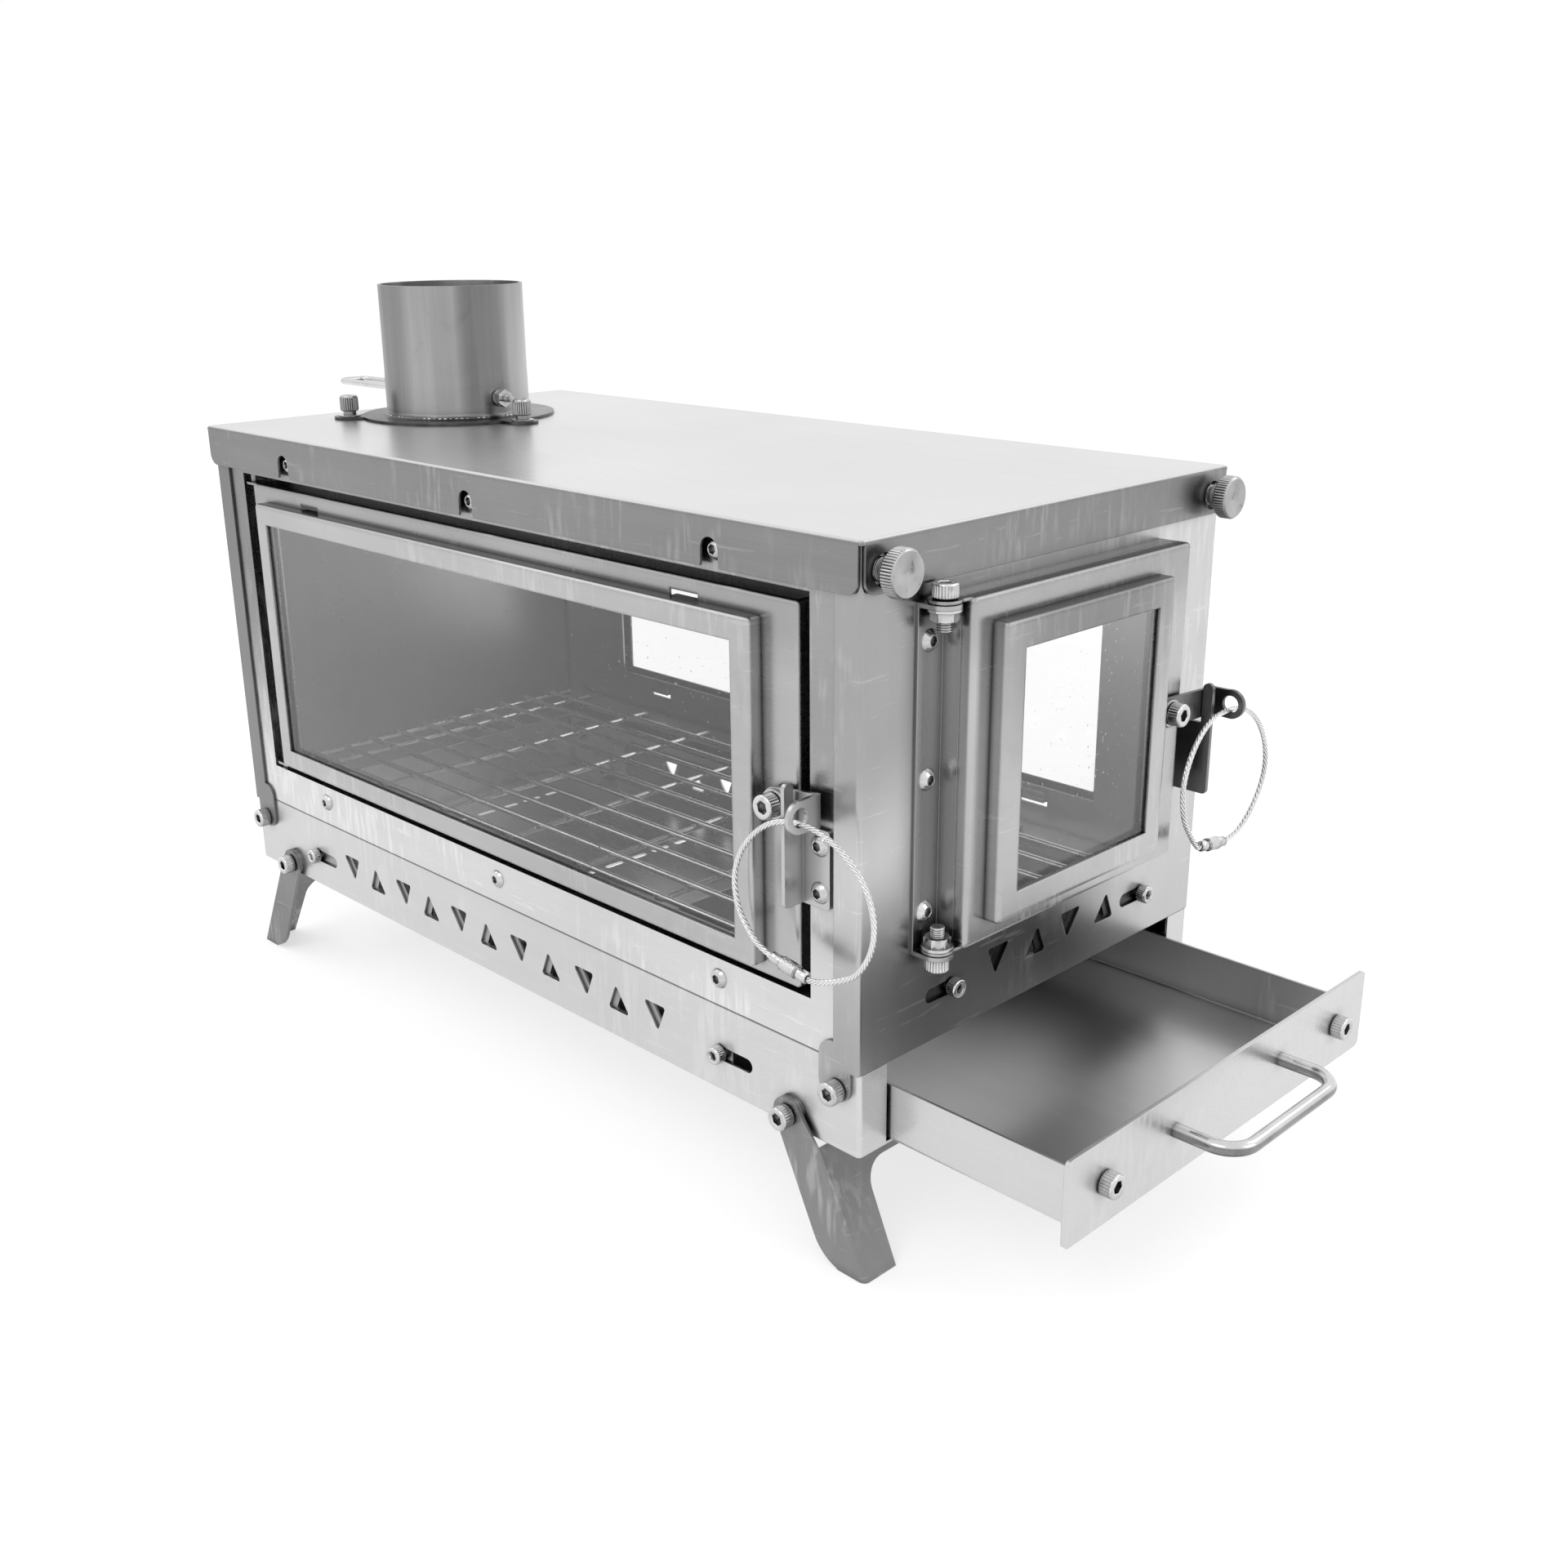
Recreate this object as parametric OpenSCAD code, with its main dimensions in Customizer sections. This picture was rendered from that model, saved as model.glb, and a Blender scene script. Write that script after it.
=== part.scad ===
// Folding camping stove of thin stainless sheet.
// The origin is the centre of the top plate's upper face, +Z is up, +X is the door end.
// The glass door of the long side looks along -Y and the flue stands near the -X end.

/* [Overall] */
// Height of the top plate above the ground
stove_h = 253; // [249:1:257]
// Length of the top plate
top_l = 400; // [392:1:412]
// Depth of the top plate
top_w = 200; // [196:1:206]
// How far the body stands inside the top plate's edges
wrap = 2; // [1.6:0.1:2.4]

/* [Sheet and plate] */
// Thickness of the body sheet
sheet_t = 1; // [0.8:0.1:1.2]
// Thickness of the latch, strike and leg plate
plate_t = 1.5; // [1.3:0.1:1.7]
// Outer radius of the sheet's bends
bend_r = 1.6; // [1.4:0.1:2]
// Width of the inward lips along the sheets' edges
lip_d = 8; // [6:0.5:9]
// Seam left between two body sheets
seam = 0.2; // [0.1:0.05:0.25]

/* [Base] */
// Clear height under the base
base_clear = 45.5; // [43:0.5:47]
// Height of the base's long walls
base_h = 33.4; // [33:0.1:35]
// How much lower the base's end walls are
end_drop = 2.9; // [2.5:0.1:3.2]
// How far the drawer's opening stands in from the body's sides
mouth_in = 14.4; // [13.5:0.1:14.7]
// How far the base's hem stops short of its ends
hem_in = 11; // [10:0.5:14]
// Distance of the outer rows of floor slots from the body's ends
floor_in = 94; // [92:1:98]
// Place of the middle of the rows along X
floor_mid = -10; // [-14:1:-6]
// Pitch of the floor slots in a row
floor_pitch = 14.5; // [13.5:0.1:15]
// Length of a floor slot
floor_slot_l = 10.5; // [9:0.1:11.5]
// Width of a floor slot
floor_slot_w = 3.2; // [2.5:0.1:4]

/* [Vents] */
// Width of a triangular vent
vent_w = 12.3; // [11:0.1:13]
// Height of a triangular vent
vent_h = 10.8; // [9.5:0.1:11.5]
// Radius of the vents' corners
vent_r = 0.9; // [0.5:0.1:1.3]
// How far a vent's tip leans from the middle
vent_lean = 1.5; // [0.5:0.1:2]
// Distance of the row of long vents from the slots
vent_end = 32.95; // [31:0.05:35]
// Place of the middle vent along X
vent_mid = -9.55; // [-12:0.05:-8]
// Height of the long sides' vents above the base
vent_up = 16.1; // [15.5:0.1:16.5]
// Distance of the row of end vents from the slots
end_vent_gap = 24.95; // [23.7:0.05:26.5]
// Place of the middle of the end vents along Y
end_vent_mid = 6.15; // [4:0.05:8]
// Height of the end vents above the ground
end_vent_z = 94.6; // [94:0.1:95]

/* [Front and back panels] */
// Height of the panels' lower and upper rails
rail_h = 18; // [17.5:0.1:18.5]
// Width of the front panel's side stiles
stile_w = 21; // [20:0.1:21.5]
// Depth of the returns round the front opening
return_d = 13; // [12:0.5:14]
// Width of the stop that the long door closes onto
stop_w = 5; // [4:0.1:5.5]
// Distance of the outer panel screws from the top plate's ends, upper row
screw_in_top = 66; // [62:1:70]
// Distance of the outer panel screws from the top plate's ends, lower row
screw_in_low = 69; // [66:1:73]
// Height of the upper panel screws below the top face
screw_z_top = 11.5; // [11:0.1:12.5]
// Height of the lower panel screws above the panel's edge
screw_z_low = 10.4; // [10:0.1:11]

/* [End panels] */
// Width of the end panels' side flanges
wing_w = 11; // [10:0.1:12]
// Width of the tabs that hold the end panels to the base
tab_w = 14.1; // [13:0.1:15]
// How far a tab's outer edge stands in from the end
tab_in = 3.5; // [3:0.1:4]
// Height of the tabs' lower edge above the base
tab_low = 18.5; // [17:0.1:19.5]
// Height of the tabs' upper edge above the base
tab_top = 40; // [38:0.5:42]
// Radius of the tabs' lower corners
tab_r = 6; // [4:0.5:6.5]
// Height of the tab screws above the base
tab_screw_up = 22.7; // [22:0.1:24]
// Distance of the tab screws from the end
tab_screw_in = 9.5; // [9:0.1:10]

/* [Top plate] */
// Height of the top plate's flanges
flange_h = 17; // [16:0.5:18]
// Radius of the flanges' lower corners
flange_r = 5; // [3:0.5:6]
// Width of the slit that opens each corner
slit_w = 0.6; // [0.4:0.1:1]
// Radius of the notches over the panel screws
notch_r = 4.2; // [4:0.1:4.6]
// Radius of the clearance holes for the thumb screws
thumb_hole_r = 5.2; // [5:0.1:5.5]
// Distance of the thumb screws from the top plate's sides
thumb_in = 10; // [9:0.5:12]
// Depth of the thumb screws below the top face
thumb_z = 10; // [9.5:0.1:10.5]

/* [Flue] */
// Distance of the flue's axis from the top plate's end
flue_in = 52.5; // [50.5:0.5:58]
// Outer radius of the spigot's lower part
flue_r = 32.65; // [32.5:0.05:33]
// How far the spigot is drawn in
swage_d = 0.15; // [0.1:0.05:0.5]
// Wall of the spigot
flue_t = 1.2; // [1:0.1:1.4]
// Height of the spigot above the top plate
flue_h = 59; // [56:0.5:62]
// Height over which the spigot is drawn in
swage_h = 5; // [4:0.5:6]
// Height at which the spigot is drawn in
swage_z = 16; // [14:0.5:18]
// Width of the collar's flange
collar_w = 11.35; // [9:0.05:12]
// Thickness of the collar's flange
collar_t = 1.2; // [1:0.1:1.5]
// Radius of the three ears
ear_r = 7; // [6:0.1:7.5]
// Distance of the ears' holes from the flange's edge
ear_out = 5.5; // [4.5:0.1:6]
// Radius of the fillet at the spigot's foot
foot_r = 2.4; // [1.5:0.1:3]

/* [Damper] */
// Height of the damper's spindle above the top plate
damper_z = 10; // [9.5:0.1:11]
// Radius of the spindle and its wire handle
wire_r = 1.5; // [1.4:0.1:1.7]
// Gap between the damper's disc and the flue
disc_gap = 0.7; // [0.5:0.1:1.2]
// Thickness of the damper's disc
disc_t = 1.2; // [1:0.1:1.5]
// Length of the handle's loop
handle_l = 53.5; // [47:0.5:57]
// Half width of the wire handle
handle_half = 7; // [6:0.1:8]
// Gap between the handle's loop and the flue
handle_gap = 5.35; // [4:0.05:9]
// Radius of the wire handle's bends
handle_bend = 4; // [3:0.1:5]
// How far the spindle reaches out of the flue
spindle_over = 9.35; // [8:0.05:10]

/* [Long door] */
// Gap under the long door
door_low = 2.1; // [1.8:0.1:2.5]
// Gap above the long door
door_up = 3.5; // [3:0.1:4]
// Gap at the long door's hinge edge
door_hinge_gap = 9.3; // [9:0.1:9.8]
// Gap at the long door's latch edge
door_latch_gap = 4.3; // [3.8:0.1:4.6]
// How far the doors' faces stand proud of the panel
door_proud = 1; // [0.8:0.1:1.2]
// Depth of the long door's edges
door_d = 12.5; // [11:0.1:12.6]
// Distance of the hinge axis from the door's edge
pin_out = 4.5; // [4.3:0.1:4.6]
// Distance of the hinge axis behind the door's face
pin_in = 3.8; // [3.7:0.1:3.9]
// Radius of the long door's hinge pins
pin_r = 1.5; // [1.3:0.1:1.55]
// Radius of the hinge pins' ears
pin_ear_r = 3.5; // [3:0.1:3.7]

/* [End door] */
// Distance of the end door from the body's side, hinge edge
edoor_hinge = 36.5; // [36:0.5:37.5]
// Distance of the end door's upper edge from the top face
edoor_top = 21.5; // [21:0.1:23]
// Distance of the end door from the body's side, latch edge
edoor_latch = 38.5; // [38:0.5:39.5]
// Height of the end door's lower edge above the ground
edoor_z = 114; // [113.5:0.1:115]
// Distance of the end door's face from the end panel
edoor_out = 13.5; // [13.3:0.1:14]
// Depth of the end door's edges
edoor_d = 5; // [4.6:0.1:5.1]
// How far the jamb stands inside the door's outline
jamb_in = 0.3; // [0.2:0.1:0.6]
// Gap between the end door and its jamb
jamb_gap = 0.3; // [0.2:0.05:0.5]
// Distance of the end hinge's axis from the end panel
ehinge_out = 6.8; // [6.7:0.1:7]
// Distance of the end hinge's axis from the door's edge
ehinge_side = 6; // [5.9:0.1:6.3]
// Radius of the end hinge's ears
ehinge_r = 5.5; // [5.3:0.1:5.55]
// Length of thread that stands out of the end hinge's nuts
hinge_stub = 3.5; // [2:0.5:5]
// Width of the jamb's hinge leaf
leaf_w = 11.6; // [11.4:0.1:12.2]

/* [Glass and retainers] */
// Thickness of the glass
glass_t = 4; // [3.5:0.1:4.2]
// Thickness of the gaskets
gasket_t = 1; // [0.8:0.1:1.2]
// Margin between the long retainer and the door's hinge edge
ret_hinge = 11; // [10:0.5:12.5]
// Margin between the long retainer and the door's latch edge
ret_latch = 16; // [15:0.5:17.5]
// Margin above the long retainers
ret_over = 7; // [6:0.5:9]
// Height of the long retainers above the door's edge
ret_up = 4.5; // [4.2:0.1:5]
// Margin between the end retainer and the door's hinge edge
eret_hinge = 9.5; // [8.5:0.5:10.5]
// Margin above the end retainer
eret_over = 8.5; // [7.5:0.5:10]
// Margin between the end retainer and the door's latch edge
eret_latch = 17.5; // [16.5:0.5:18.5]
// Height of the end retainer above the door's edge
eret_up = 7.5; // [7:0.5:8]
// Width of a retainer's face
bezel = 8.5; // [8:0.1:9]
// Width of the end retainer's face
ebezel = 9.5; // [9:0.1:10]
// How far the sheet's opening lies inside a retainer's outline
seat_in = 6.5; // [6:0.1:7]
// How far the glass lies inside a retainer's outline
glass_in = 1.5; // [1.3:0.1:2]
// Distance of the retainers' tabs from their ends
ret_tab_in = 36.5; // [30:0.5:43]
// Width of the retainers' tabs
ret_tab_w = 12; // [10:0.5:13]
// Width of the slots for the tabs
ret_slot_h = 3; // [2.6:0.1:3.4]

/* [Latches] */
// Distance of the long latch's pivot from the door's edge
latch_in = 7; // [6.8:0.1:7.5]
// How far the long latch's pivot lies below the door's middle
latch_low = 0.85; // [-2:0.05:3]
// Length of the long latch's arm
arm_l = 18.9; // [18.5:0.1:19.4]
// Upper edge of the long arm's end above the pivot
arm_hi = 7.6; // [7:0.1:8]
// Lower edge of the long arm's end above the pivot
arm_lo = -3.9; // [-4.2:0.1:-3.5]
// Height of the long latch's hole above the pivot
hole_up = 1.85; // [1.6:0.05:2.1]
// Distance of the end latch's pivot from the door's edge
elatch_in = 11; // [10.5:0.1:11.5]
// How far the end latch's pivot lies below the door's middle
elatch_low = 1.05; // [-1:0.05:3]
// Length of the end latch's arm
earm_l = 30; // [29.5:0.1:30.5]
// Upper edge of the end arm's end above the pivot
earm_hi = 3.8; // [3.5:0.1:4.2]
// Lower edge of the end arm's end above the pivot
earm_lo = -6.6; // [-7:0.1:-6.2]
// Height of the end latch's hole above the pivot
ehole_up = -1.4; // [-1.6:0.05:-1.2]
// Radius of the levers' eyes and tab tips
lever_r = 5.5; // [5.3:0.1:5.6]
// Distance of a tab's hole from the arm's inner face
tab_hole_out = 9; // [8.8:0.1:9.3]
// Radius of a tab's hole
tab_hole_r = 3.2; // [3:0.1:3.4]
// Thickness of the washers behind the long lever
washer_in = 2; // [1.9:0.1:2.1]
// Thickness of the washers in front of the levers and behind the end lever
washer_out = 1; // [0.8:0.1:1.2]
// Radius of the latch washers
washer_r = 5; // [4.8:0.1:5.2]

/* [Strikes] */
// Height of a strike's plates
strike_h = 27.2; // [26:0.1:27.6]
// Width of a strike's base
strike_w = 13.2; // [12.6:0.1:13.5]
// Reach of the long strike's wing from the panel
wing_out = 10; // [9.8:0.1:10.2]
// Reach of the end strike's wing from the panel
ewing_out = 20.5; // [20:0.1:20.7]
// Width of a strike's horn
horn_w = 4.2; // [3.8:0.1:4.3]
// Height of a horn above its wing
horn_h = 15.2; // [14.5:0.1:15.8]
// Distance of the long strike's wing from the latch pivot
wing_x = 8.1; // [8:0.1:8.6]
// Distance of the end strike's wing from the latch pivot
ewing_x = 21; // [20.5:0.1:21.5]
// Gap below the long arm
arm_gap = 5.2; // [5.1:0.1:5.6]
// Gap below the end arm
earm_gap = 8.2; // [7.6:0.1:8.6]
// Distance of the strikes' screws from the wing
strike_screw_in = 8.9; // [8.6:0.1:9.2]
// Height of the lower strike screw above the strike's edge
strike_screw_low = 5.4; // [5:0.1:6]
// Distance between a strike's screws
strike_screw_gap = 16.2; // [15.6:0.1:16.8]

/* [Cable rings] */
// Diameter of the cable
cable_d = 2; // [1.8:0.1:2.1]
// Length of a ring's clasp
clasp_l = 16; // [15:0.5:17]
// Radius of the clasp's knurled sleeve
clasp_r = 2.5; // [2.3:0.1:2.8]
// Radius of the clasp's ends
clasp_end_r = 2; // [1.8:0.1:2.2]

/* [Legs] */
// Distance of the legs' pivots from the body's ends
leg_in = 31.5; // [29:0.5:35]
// Height of the legs' pivots above the base
leg_up = 5.1; // [5.1:0.1:6]
// Slope of the legs when unfolded
leg_a = 62; // [60:1:64]
// Radius of the legs' eyes
eye_r = 6.5; // [6:0.1:6.8]
// Distance of the legs' outer face from the pivot's line
leg_face = 8.7; // [8.4:0.1:9]
// Depth of the legs' sides behind the pivot's line
leg_back = 8; // [7.5:0.1:8.3]
// Distance from the pivot to the cross bar
bar_from = 13.6; // [13:0.1:14.5]
// Width of the cross bar
bar_w = 12; // [11:0.1:13]
// Width of the legs' feet
foot_w = 17.5; // [16:0.5:19]
// Radius where the feet meet the cross bar
foot_fillet = 10; // [8:0.5:11]
// Radius of the feet's toes
toe_r = 16; // [15:0.5:17]
// Thickness of the washers behind the legs
leg_washer = 0.9; // [0.85:0.01:0.95]

/* [Vent sliders] */
// How far the long sliders reach beyond their slots' middles
slider_over = 5.3; // [4.5:0.1:6]
// Place of the long sliders' middle at rest
slider_mid = -7; // [-8:0.5:-6]
// Height of the long sliders
slider_h = 19; // [18:0.1:19.5]
// Height of the long sliders' slots and bolts above the base
slider_up = 14.5; // [14:0.1:15]
// How far the sliders' openings are shifted at rest
slider_shift = 3.5; // [2.5:0.1:4.5]
// Distance of the long slots from the body's ends
slot_in = 60.3; // [60:0.1:60.8]
// Length of the slots on the long sides
slot_l = 19.1; // [18.8:0.1:19.6]
// Width of all the sliders' slots
slot_w = 5.4; // [5.2:0.1:5.6]
// Distance of the end slots from the body's sides
eslot_in = 41.4; // [41.2:0.1:41.6]
// Length of the slots in the door end
eslot_l = 16.2; // [16:0.1:16.6]
// Distance of the end slider's ends from the body's sides
eslider_in = 24; // [24:0.5:28]
// Height of the end slider
eslider_h = 17; // [16:0.1:17.4]
// Height of the end slider's slots above the ground
eslot_z = 93.2; // [93:0.1:93.6]

/* [Drawer] */
// How much shorter than the body the ash tray is
tray_short = 156; // [156:1:166]
// Gap between the ash tray and each side of its opening
tray_gap = 1.1; // [1:0.1:1.6]
// Height of the ash tray
tray_h = 21.1; // [20:0.1:22]
// How far the drawer is drawn out at rest
drawn = 77.5; // [70:0.5:85]
// How far the drawer's front laps over its opening's sides
front_lap = 8.4; // [6.5:0.1:9.4]
// Height of the drawer's front
front_h = 30.6; // [29.5:0.1:30.6]
// Height of the drawer screws above the base
front_screw_up = 15.5; // [14:0.1:17]
// Distance of the drawer screws from the front's ends
front_screw_in = 20; // [18:0.5:22]
// Radius of the handle's rod
rod_r = 2.5; // [2.3:0.1:2.8]
// Half width of the handle between its roots
rod_y = 33; // [30:0.5:36]
// Height of the handle above the base
rod_up = 17; // [16:0.1:18]
// Reach of the handle's rod from the drawer's front
rod_out = 22.5; // [20:0.5:25]
// Radius of the handle's bends
rod_bend = 10; // [8:0.5:12]
// Height of the drawer's guides
guide_h = 9.5; // [8:0.5:11]

/* [Grate] */
// Radius of the grate's wires
grate_r = 1.25; // [1.1:0.05:1.3]
// Distance of the outer long wires from the grate's sides
grate_edge = 14; // [11:0.5:18]
// Distance of the outer cross wires from the grate's ends
cross_edge = 16; // [12:0.5:20]
// Gap between the grate and the end walls
grate_gap_x = 12.8; // [10.8:0.5:16.8]
// Gap between the grate and the long walls
grate_gap_y = 10; // [9:0.5:12]
// Height of the grate's rests above the ground
rest_z = 93; // [92.6:0.1:93.3]
// Width of the rests' shelves
rest_d = 16; // [14:0.5:17]
// Height of the rests' upright legs
rest_h = 10; // [9:0.5:11]

/* [Screws and fits] */
// Radius of the larger screws
m5_r = 2.5; // [2.4:0.05:2.55]
// Radius of the smaller screws
m4_r = 2; // [1.9:0.05:2.1]
// Radius of a socket head over its screw's radius
head_ratio = 1.7; // [1.6:0.05:1.75]
// Height of a socket head over its screw's radius
head_tall = 2; // [1.8:0.05:2]
// Radius of a button head
button_r = 3.8; // [3.6:0.1:3.9]
// Height of a button head
button_h = 2.2; // [2:0.1:2.2]
// Corner radius of a nut over its screw's radius
nut_ratio = 1.85; // [1.75:0.05:1.9]
// Height of a nut over its screw's radius
nut_tall = 1.6; // [1.4:0.1:1.6]
// Radius of the thumb screws' heads
thumb_r = 7.75; // [7.2:0.05:8]
// Height of the thumb screws' heads
thumb_h = 5.2; // [4.8:0.1:5.6]
// Radius of the collar screws' heads
knob_r = 4.15; // [4:0.05:4.3]
// Height of the collar screws' heads
knob_h = 7; // [6.5:0.1:7.5]
// Depth of the knurling
knurl_d = 0.25; // [0.15:0.05:0.35]
// Radial fit of pins and bolts in turning holes
fit = 0.05; // [0.03:0.01:0.08]
// End play of turning and sliding pieces
play = 0.1; // [0.05:0.01:0.15]
// Width of the bevels on screw heads
bevel = 0.4; // [0.3:0.05:0.5]

/* [Hidden] */
$fn = 48;
// heights, all below the top face
ground_z = -stove_h;
base_z = ground_z + base_clear;
floor_z = base_z + sheet_t;
rim_z = base_z + base_h;
strip_z = rim_z - end_drop;
end_z = strip_z + seam;
body_top = -sheet_t;
// plan of the body
hx = top_l / 2 - wrap;
hy = top_w / 2 - wrap;
wy = hy - sheet_t;
wi = wy - sheet_t;
panel_x = hx - sheet_t - seam;
corner_l = bend_r + lip_d;
slit = sheet_t + slit_w;
thumb_y = top_w / 2 - thumb_in;
screw_x_top = top_l / 2 - screw_in_top;
screw_x_low = top_l / 2 - screw_in_low;
mouth_y = hy - mouth_in;
leg_x = hx - leg_in;
floor_row = hx - floor_in;
// front opening
open_x = panel_x - stile_w;
open_lo = rim_z + rail_h;
open_hi = body_top - rail_h;
stop_y = -wy + return_d - sheet_t;
// long door
door_x0 = door_hinge_gap - open_x;
door_x1 = open_x - door_latch_gap;
door_z0 = open_lo + door_low;
door_z1 = open_hi - door_up;
door_l = door_x1 - door_x0;
door_h = door_z1 - door_z0;
door_y = -wy - door_proud;
pin_x = door_x0 - pin_out;
pin_y = door_y + pin_in;
ret_l = door_l - ret_hinge - ret_latch;
ret_h = door_h - ret_up - ret_over;
ret_x = (door_x0 + ret_hinge + door_x1 - ret_latch) / 2;
ret_z = door_z0 + ret_up + ret_h / 2;
ret_tab_x = ret_l / 2 - ret_tab_in;
ret_d = gasket_t + glass_t + sheet_t;
// latch of the long door
latch_x = door_x1 - latch_in;
latch_z = (door_z0 + door_z1) / 2 - latch_low;
lever_y = door_y - washer_in;
// end door
edoor_x = hx + edoor_out;
edoor_w = 2 * hy - edoor_hinge - edoor_latch;
edoor_y = (edoor_hinge - edoor_latch) / 2;
edoor_h = stove_h - edoor_z - edoor_top;
edoor_z0 = ground_z + edoor_z;
edoor_z1 = edoor_z0 + edoor_h;
edoor_y0 = edoor_y - edoor_w / 2;
edoor_y1 = edoor_y + edoor_w / 2;
jamb_d = edoor_out - edoor_d - jamb_gap;
jamb_w = edoor_w - 2 * jamb_in;
jamb_h = edoor_h - 2 * jamb_in;
ehinge_x = hx + ehinge_out;
ehinge_y = edoor_y0 - ehinge_side;
lug_top = edoor_z1 - sheet_t - play - jamb_in;
lug_low = edoor_z0 - play - jamb_in;
eret_l = edoor_w - eret_hinge - eret_latch;
eret_h = edoor_h - eret_up - eret_over;
eret_y = edoor_y + (eret_hinge - eret_latch) / 2;
eret_z = edoor_z0 + eret_up + eret_h / 2;
elatch_y = edoor_y1 - elatch_in;
elatch_z = (edoor_z0 + edoor_z1) / 2 - elatch_low;
elever_x = edoor_x + washer_out;
// rings
cable_r = cable_d / 2;
ring_x = latch_x + arm_l - plate_t / 2;
ring_y = lever_y - tab_hole_out;
ring_z = latch_z + hole_up - tab_hole_r + cable_r + play;
ering_y = elatch_y + earm_l - plate_t / 2;
ering_x = elever_x + tab_hole_out;
ering_z = elatch_z + ehole_up - tab_hole_r + cable_r + play;
ring_route = [[13, -50], [24, -44], [30.5, -34], [31.5, -23], [26.5, -11.5], [14, -2.5],
    [0, 0], [-14, -4], [-24.5, -13.5], [-29.5, -25], [-28, -36.5], [-21, -45.5]];
ring_clasp = [-4.5, -50.5, -9.5];
ering_route = [[13, -50.5], [22.5, -43], [28.5, -32], [28, -21], [21.5, -10], [12, -3],
    [0, 0], [-13, -1.5], [-23, -9.5], [-28.5, -22], [-27, -35], [-20.5, -45]];
ering_clasp = [-6, -51.3, -8];
ring_sides = 8;
ring_steps = 2;
// legs
leg_z = base_z + leg_up;
leg_y = wy + leg_washer + play;
foot_u = (leg_up + base_clear + leg_face * cos(leg_a)) / sin(leg_a);
toe_u = (leg_up + base_clear + (toe_r - leg_back) * cos(leg_a) - toe_r) / sin(leg_a);
// sliders
slot_x = hx - slot_in;
slider_l = 2 * (slot_x + slider_over);
vent_pitch = (slot_x - vent_end) / 5;
eslot_y = hy - eslot_in;
eslider_half = hy - eslider_in;
end_vent_pitch = (eslot_y - end_vent_gap) / 1.5;
slider_z = base_z + slider_up;
slot_run = (slot_l - slot_w) / 2;
eslot_run = (eslot_l - slot_w) / 2;
slider_y = wi - play;
eslot_zz = ground_z + eslot_z;
event_zz = ground_z + end_vent_z;
vent_zz = base_z + vent_up;
// drawer
tray_l = 2 * hx - tray_short;
tray_y = mouth_y - tray_gap;
front_y = mouth_y + front_lap;
front_screw_y = front_y - front_screw_in;
tray_x1 = hx + drawn + seam * 2;
tray_z0 = floor_z + seam;
drawer_play = 0.5;
// flue
flue_c = flue_in - top_l / 2;
spigot_r = flue_r - swage_d;
bore_r = spigot_r - flue_t;
collar_r = flue_r + collar_w;
ear_d = collar_r + ear_out;
disc_r = bore_r - disc_gap;
handle_in = flue_r + handle_gap;
handle_out = handle_in + handle_l;
spindle_out = flue_r + spindle_over;
// grate
grate_x = panel_x - grate_gap_x;
grate_y = wi - grate_gap_y;
grate_pitch = (grate_y - grate_edge) / 4.5;
cross_pitch = (grate_x - cross_edge) / 3.5;
rest_top = ground_z + rest_z;

// A box between two limits along each axis
module span(x, y, z) {
    translate([x[0], y[0], z[0]])
        cube([x[1] - x[0], y[1] - y[0], z[1] - z[0]]);
}

// Turns a drawing so that its x, y and thickness run along X, Z and -Y
module on_front() {
    rotate([90, 0, 0]) children();
}

// The same for +Y, with x along -X
module on_back() {
    rotate([90, 0, 180]) children();
}

// The same for +X, with x along Y
module on_end() {
    rotate([90, 0, 90]) children();
}

// Both sides of the XZ plane
module both_sides() {
    for (m = [0, 1]) mirror([0, m, 0]) children();
}

// Rounded rectangle
module pill(w, h, r) {
    square([w, h - 2 * r], center = true);
    square([w - 2 * r, h], center = true);
    for (i = [-1, 1], j = [-1, 1])
        translate([i * (w / 2 - r), j * (h / 2 - r)]) circle(r);
}

// Slot with round ends along x
module slot(l, w) {
    square([l - w, w], center = true);
    for (i = [-1, 1]) translate([i * (l - w) / 2, 0]) circle(w / 2);
}

// Ring between two rectangles
module frame2d(w, h, in_w, in_h) {
    difference() {
        square([w, h], center = true);
        square([in_w, in_h], center = true);
    }
}

// Quarter of a sheet's bend
module elbow(r, t) {
    intersection() {
        difference() {
            circle(r);
            circle(r - t);
        }
        square(r);
    }
}

// Plan of a sheet bent into a U: the web ends at x = back, the flanges run towards -x
module channel(back, half, depth, t, r) {
    translate([back - t, r - half]) square([t, 2 * (half - r)]);
    for (m = [0, 1]) mirror([0, m]) {
        translate([back - r, half - r]) elbow(r, t);
        translate([back - depth, half - t]) square([depth - r, t]);
    }
}

// Flat sheet with bent edges and pressed corners, its face on z = 0
module lid(l, w) {
    translate([0, 0, -sheet_t]) linear_extrude(sheet_t)
        square([l - 2 * bend_r, w - 2 * bend_r], center = true);
    for (i = [0, 1], side = [[0, l, w], [90, w, l]])
        rotate([0, 0, side[0] + 180 * i])
            translate([0, side[2] / 2 - bend_r, -bend_r])
                rotate([90, 0, 90])
                    linear_extrude(side[1] - 2 * bend_r, center = true) elbow(bend_r, sheet_t);
    for (i = [-1, 1], j = [-1, 1])
        translate([i * (l / 2 - bend_r), j * (w / 2 - bend_r), -bend_r])
            intersection() {
                sphere(bend_r);
                span([min(i, 0) * bend_r, max(i, 0) * bend_r],
                    [min(j, 0) * bend_r, max(j, 0) * bend_r], [0, bend_r]);
            }
}

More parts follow.
